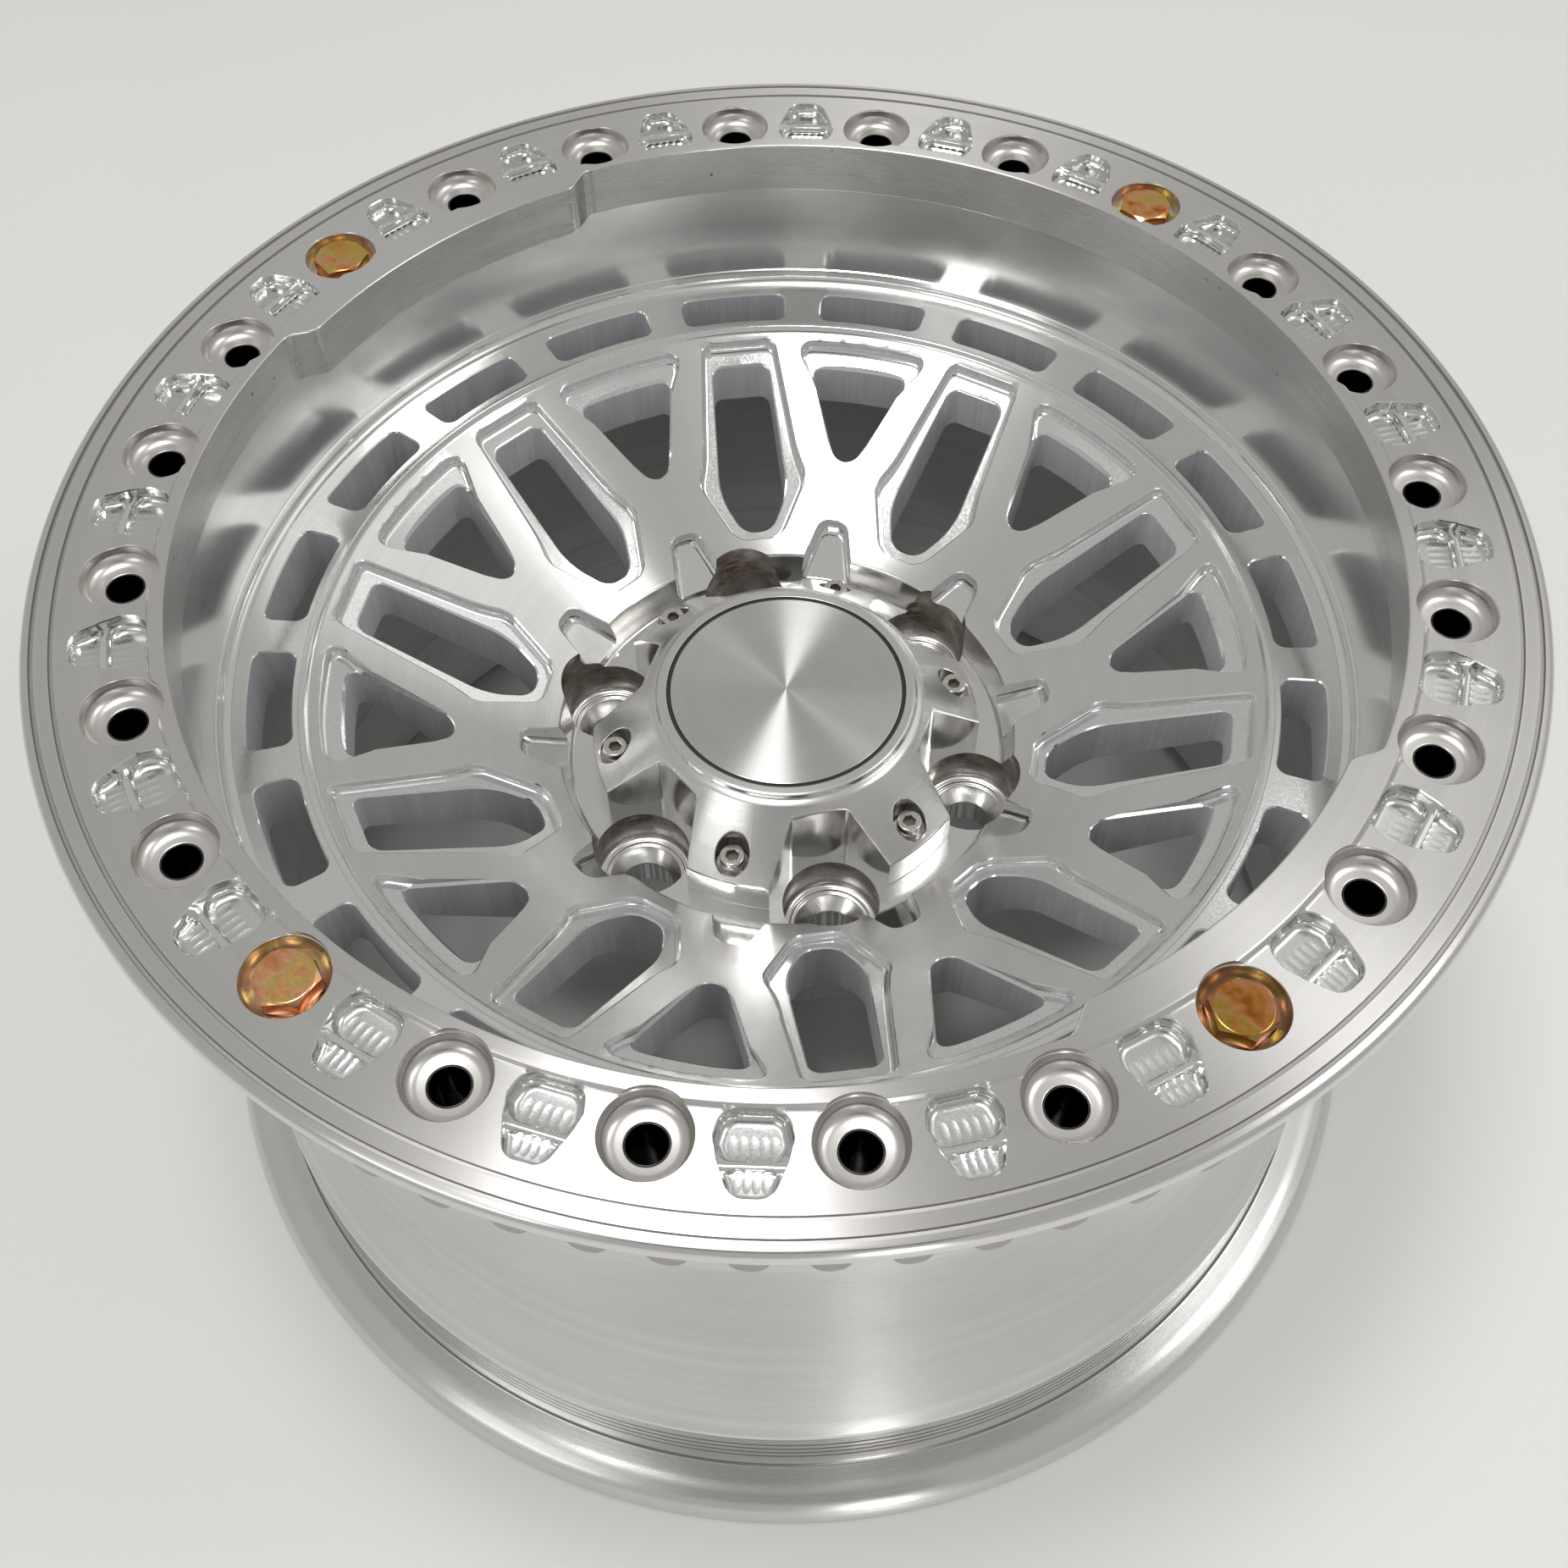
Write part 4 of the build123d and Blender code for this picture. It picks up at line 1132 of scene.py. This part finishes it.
# Painted shade: the walls of the cap's screw recesses are coloured much darker than the cap to stand for the
# shade in them
recess = milled_metal("screw_recess_painted_shade", (0.46, 0.45, 0.435), (0.32, 0.31, 0.30), 0.22, 0.34,
                      STREAKS, 0.05)
disc_face = turned_metal("disc_turned", (0.74, 0.74, 0.73), (0.63, 0.63, 0.62), 0.25, 0.31, 0.97,
                         across="Radius", fineness=4200.0, relief=0.08)
plated = plated_metal("bolt_plated")
black_steel = dark_solid("insert_black", (0.10, 0.098, 0.095), (0.045, 0.044, 0.043), 0.14, 0.24, 1.0)
rubber = dark_solid("seal_rubber_black", (0.03, 0.03, 0.03), (0.012, 0.012, 0.012), 0.45, 0.6, 0.0)
steel = milled_metal("screw_stainless", (0.78, 0.75, 0.71), (0.60, 0.575, 0.54), 0.16, 0.26, BALL_MARKS, 0.05)
# Painted shade: the faces inside each screw's hex socket are coloured dark to stand for the shade in it
socket_painted_shade = dark_solid("screw_socket_painted_shade", (0.36, 0.315, 0.27), (0.20, 0.175, 0.15), 0.3, 0.42, 1.0)

dress(ring, ring_edge,
      (seat_metal, in_bolt_seat), (pocket_floor, on_pocket_floor), (pocket, in_ring_pocket),
      (groove, lambda r, a, z, n: r > 225 and n.z > -0.2 and z < FACE_Z - 0.1 and r < 233),
      (ring_face, lambda r, a, z, n: n.z > 0.85 and z > FACE_Z - 2),
      # Faces under the ring, which take the painted shade
      (ring_under, lambda r, a, z, n: z < FACE_Z - 9 and r > 213 and (r < 231 or abs(n.z) < 0.2)),
      (ring_rim, lambda r, a, z, n: r > 225))
dress(wheel, back,
      (burnt, in_lug_bore), (polished, in_lug_seat), (hub, in_hub), (satin, on_spoke_face),
      (wall, in_window), (edge, on_window_edge), (polished, on_dish), (seat_groove_painted_shade, in_bead_groove),
      (flange, on_flange), (bead_seat, on_bead_seat), (barrel, on_barrel))
dress(cap, cap_wall, (recess, in_screw_recess), (cap_face, lambda r, a, z, n: n.z > 0.3))
dress(disc, disc_face)
dress(bolts, plated)
dress(inserts, black_steel)
dress(seal, rubber)
dress(screws, steel, (socket_painted_shade, in_socket))


# Floor, light and camera
def cloudy_paint(name, roughness, scale, dark, light):
    """Matt paint or cloth with soft clouds in its tone."""
    new, tree, shader = material(name, roughness, metallic=0.0)
    cloud = noise(tree, scale, 2, vector=own_place(tree))
    plug(tree, blend(tree, cloud, dark, light), shader.inputs["Base Color"])
    return new


bpy.ops.object.select_all(action="DESELECT")
bpy.ops.mesh.primitive_plane_add(size=8)
floor = bpy.context.object
floor.name = "floor"
floor.data.materials.append(cloudy_paint("pale_floor", 0.5, 1.6, (0.91, 0.905, 0.89), (0.95, 0.945, 0.93)))

# A dark card behind the camera, which darkens what mirrors that side
bpy.ops.object.select_all(action="DESELECT")
bpy.ops.mesh.primitive_plane_add(size=1)
card = bpy.context.object
card.name = "dark_card"
facing = Vector((0.62, -0.57, 1.0)).to_track_quat("Z", "Y").to_matrix().to_4x4()
card.data.transform(Matrix.Translation((0.62, -0.57, 1.16)) @ facing @ Matrix.Diagonal((0.7, 0.26, 1, 1)))
card.data.materials.append(cloudy_paint("dark_felt", 0.8, 6.0, (0.05, 0.05, 0.05), (0.07, 0.07, 0.07)))


def softbox(name, place, target, width, height, power):
    """A rectangular lamp that looks at a target, in metres and watts."""
    light = bpy.data.lights.new(name, "AREA")
    light.shape = "RECTANGLE"
    light.size, light.size_y, light.energy = width, height, power
    lamp = bpy.data.objects.new(name, light)
    bpy.context.scene.collection.objects.link(lamp)
    lamp.location = place
    lamp.rotation_mode = "QUATERNION"
    lamp.rotation_quaternion = (Vector(target) - Vector(place)).to_track_quat("-Z", "Y")


softbox("key_softbox", (-0.16, -0.17, 2.2), (0, 0, 0.2), 0.5, 0.5, 12.5)
softbox("side_softbox", (0.80, 0.86, 1.75), (0, 0, 0.2), 0.5, 0.5, 4)
softbox("left_softbox", (0.15, -1.55, 1.45), (0, 0, 0.15), 0.7, 0.5, 2.2)
softbox("wall_panel", (0.28, 1.45, 1.83), (0, 0, 0.2), 1.2, 1.0, 1.8)
softbox("front_strip", (1.5, -0.9, 0.36), (0, 0, 0.12), 0.14, 0.5, 3)
world = bpy.data.worlds.new("studio")
bpy.context.scene.world = world
world.use_nodes = True
sky = world.node_tree.nodes["Background"]
sky.inputs["Color"].default_value = (1.0, 0.99, 0.97, 1)
sky.inputs["Strength"].default_value = 0.45

eye = bpy.data.cameras.new("photo_view")
camera = bpy.data.objects.new("photo_view", eye)
bpy.context.scene.collection.objects.link(camera)
camera.location = (0.2804, -0.25694, 0.68663)
camera.rotation_euler = (math.radians(34.47), math.radians(0.307), math.radians(47.217))
eye.lens = 40.246
eye.sensor_width = 36.0
eye.clip_start = 0.01
bpy.context.scene.camera = camera
bpy.context.scene.view_settings.view_transform = "Standard"
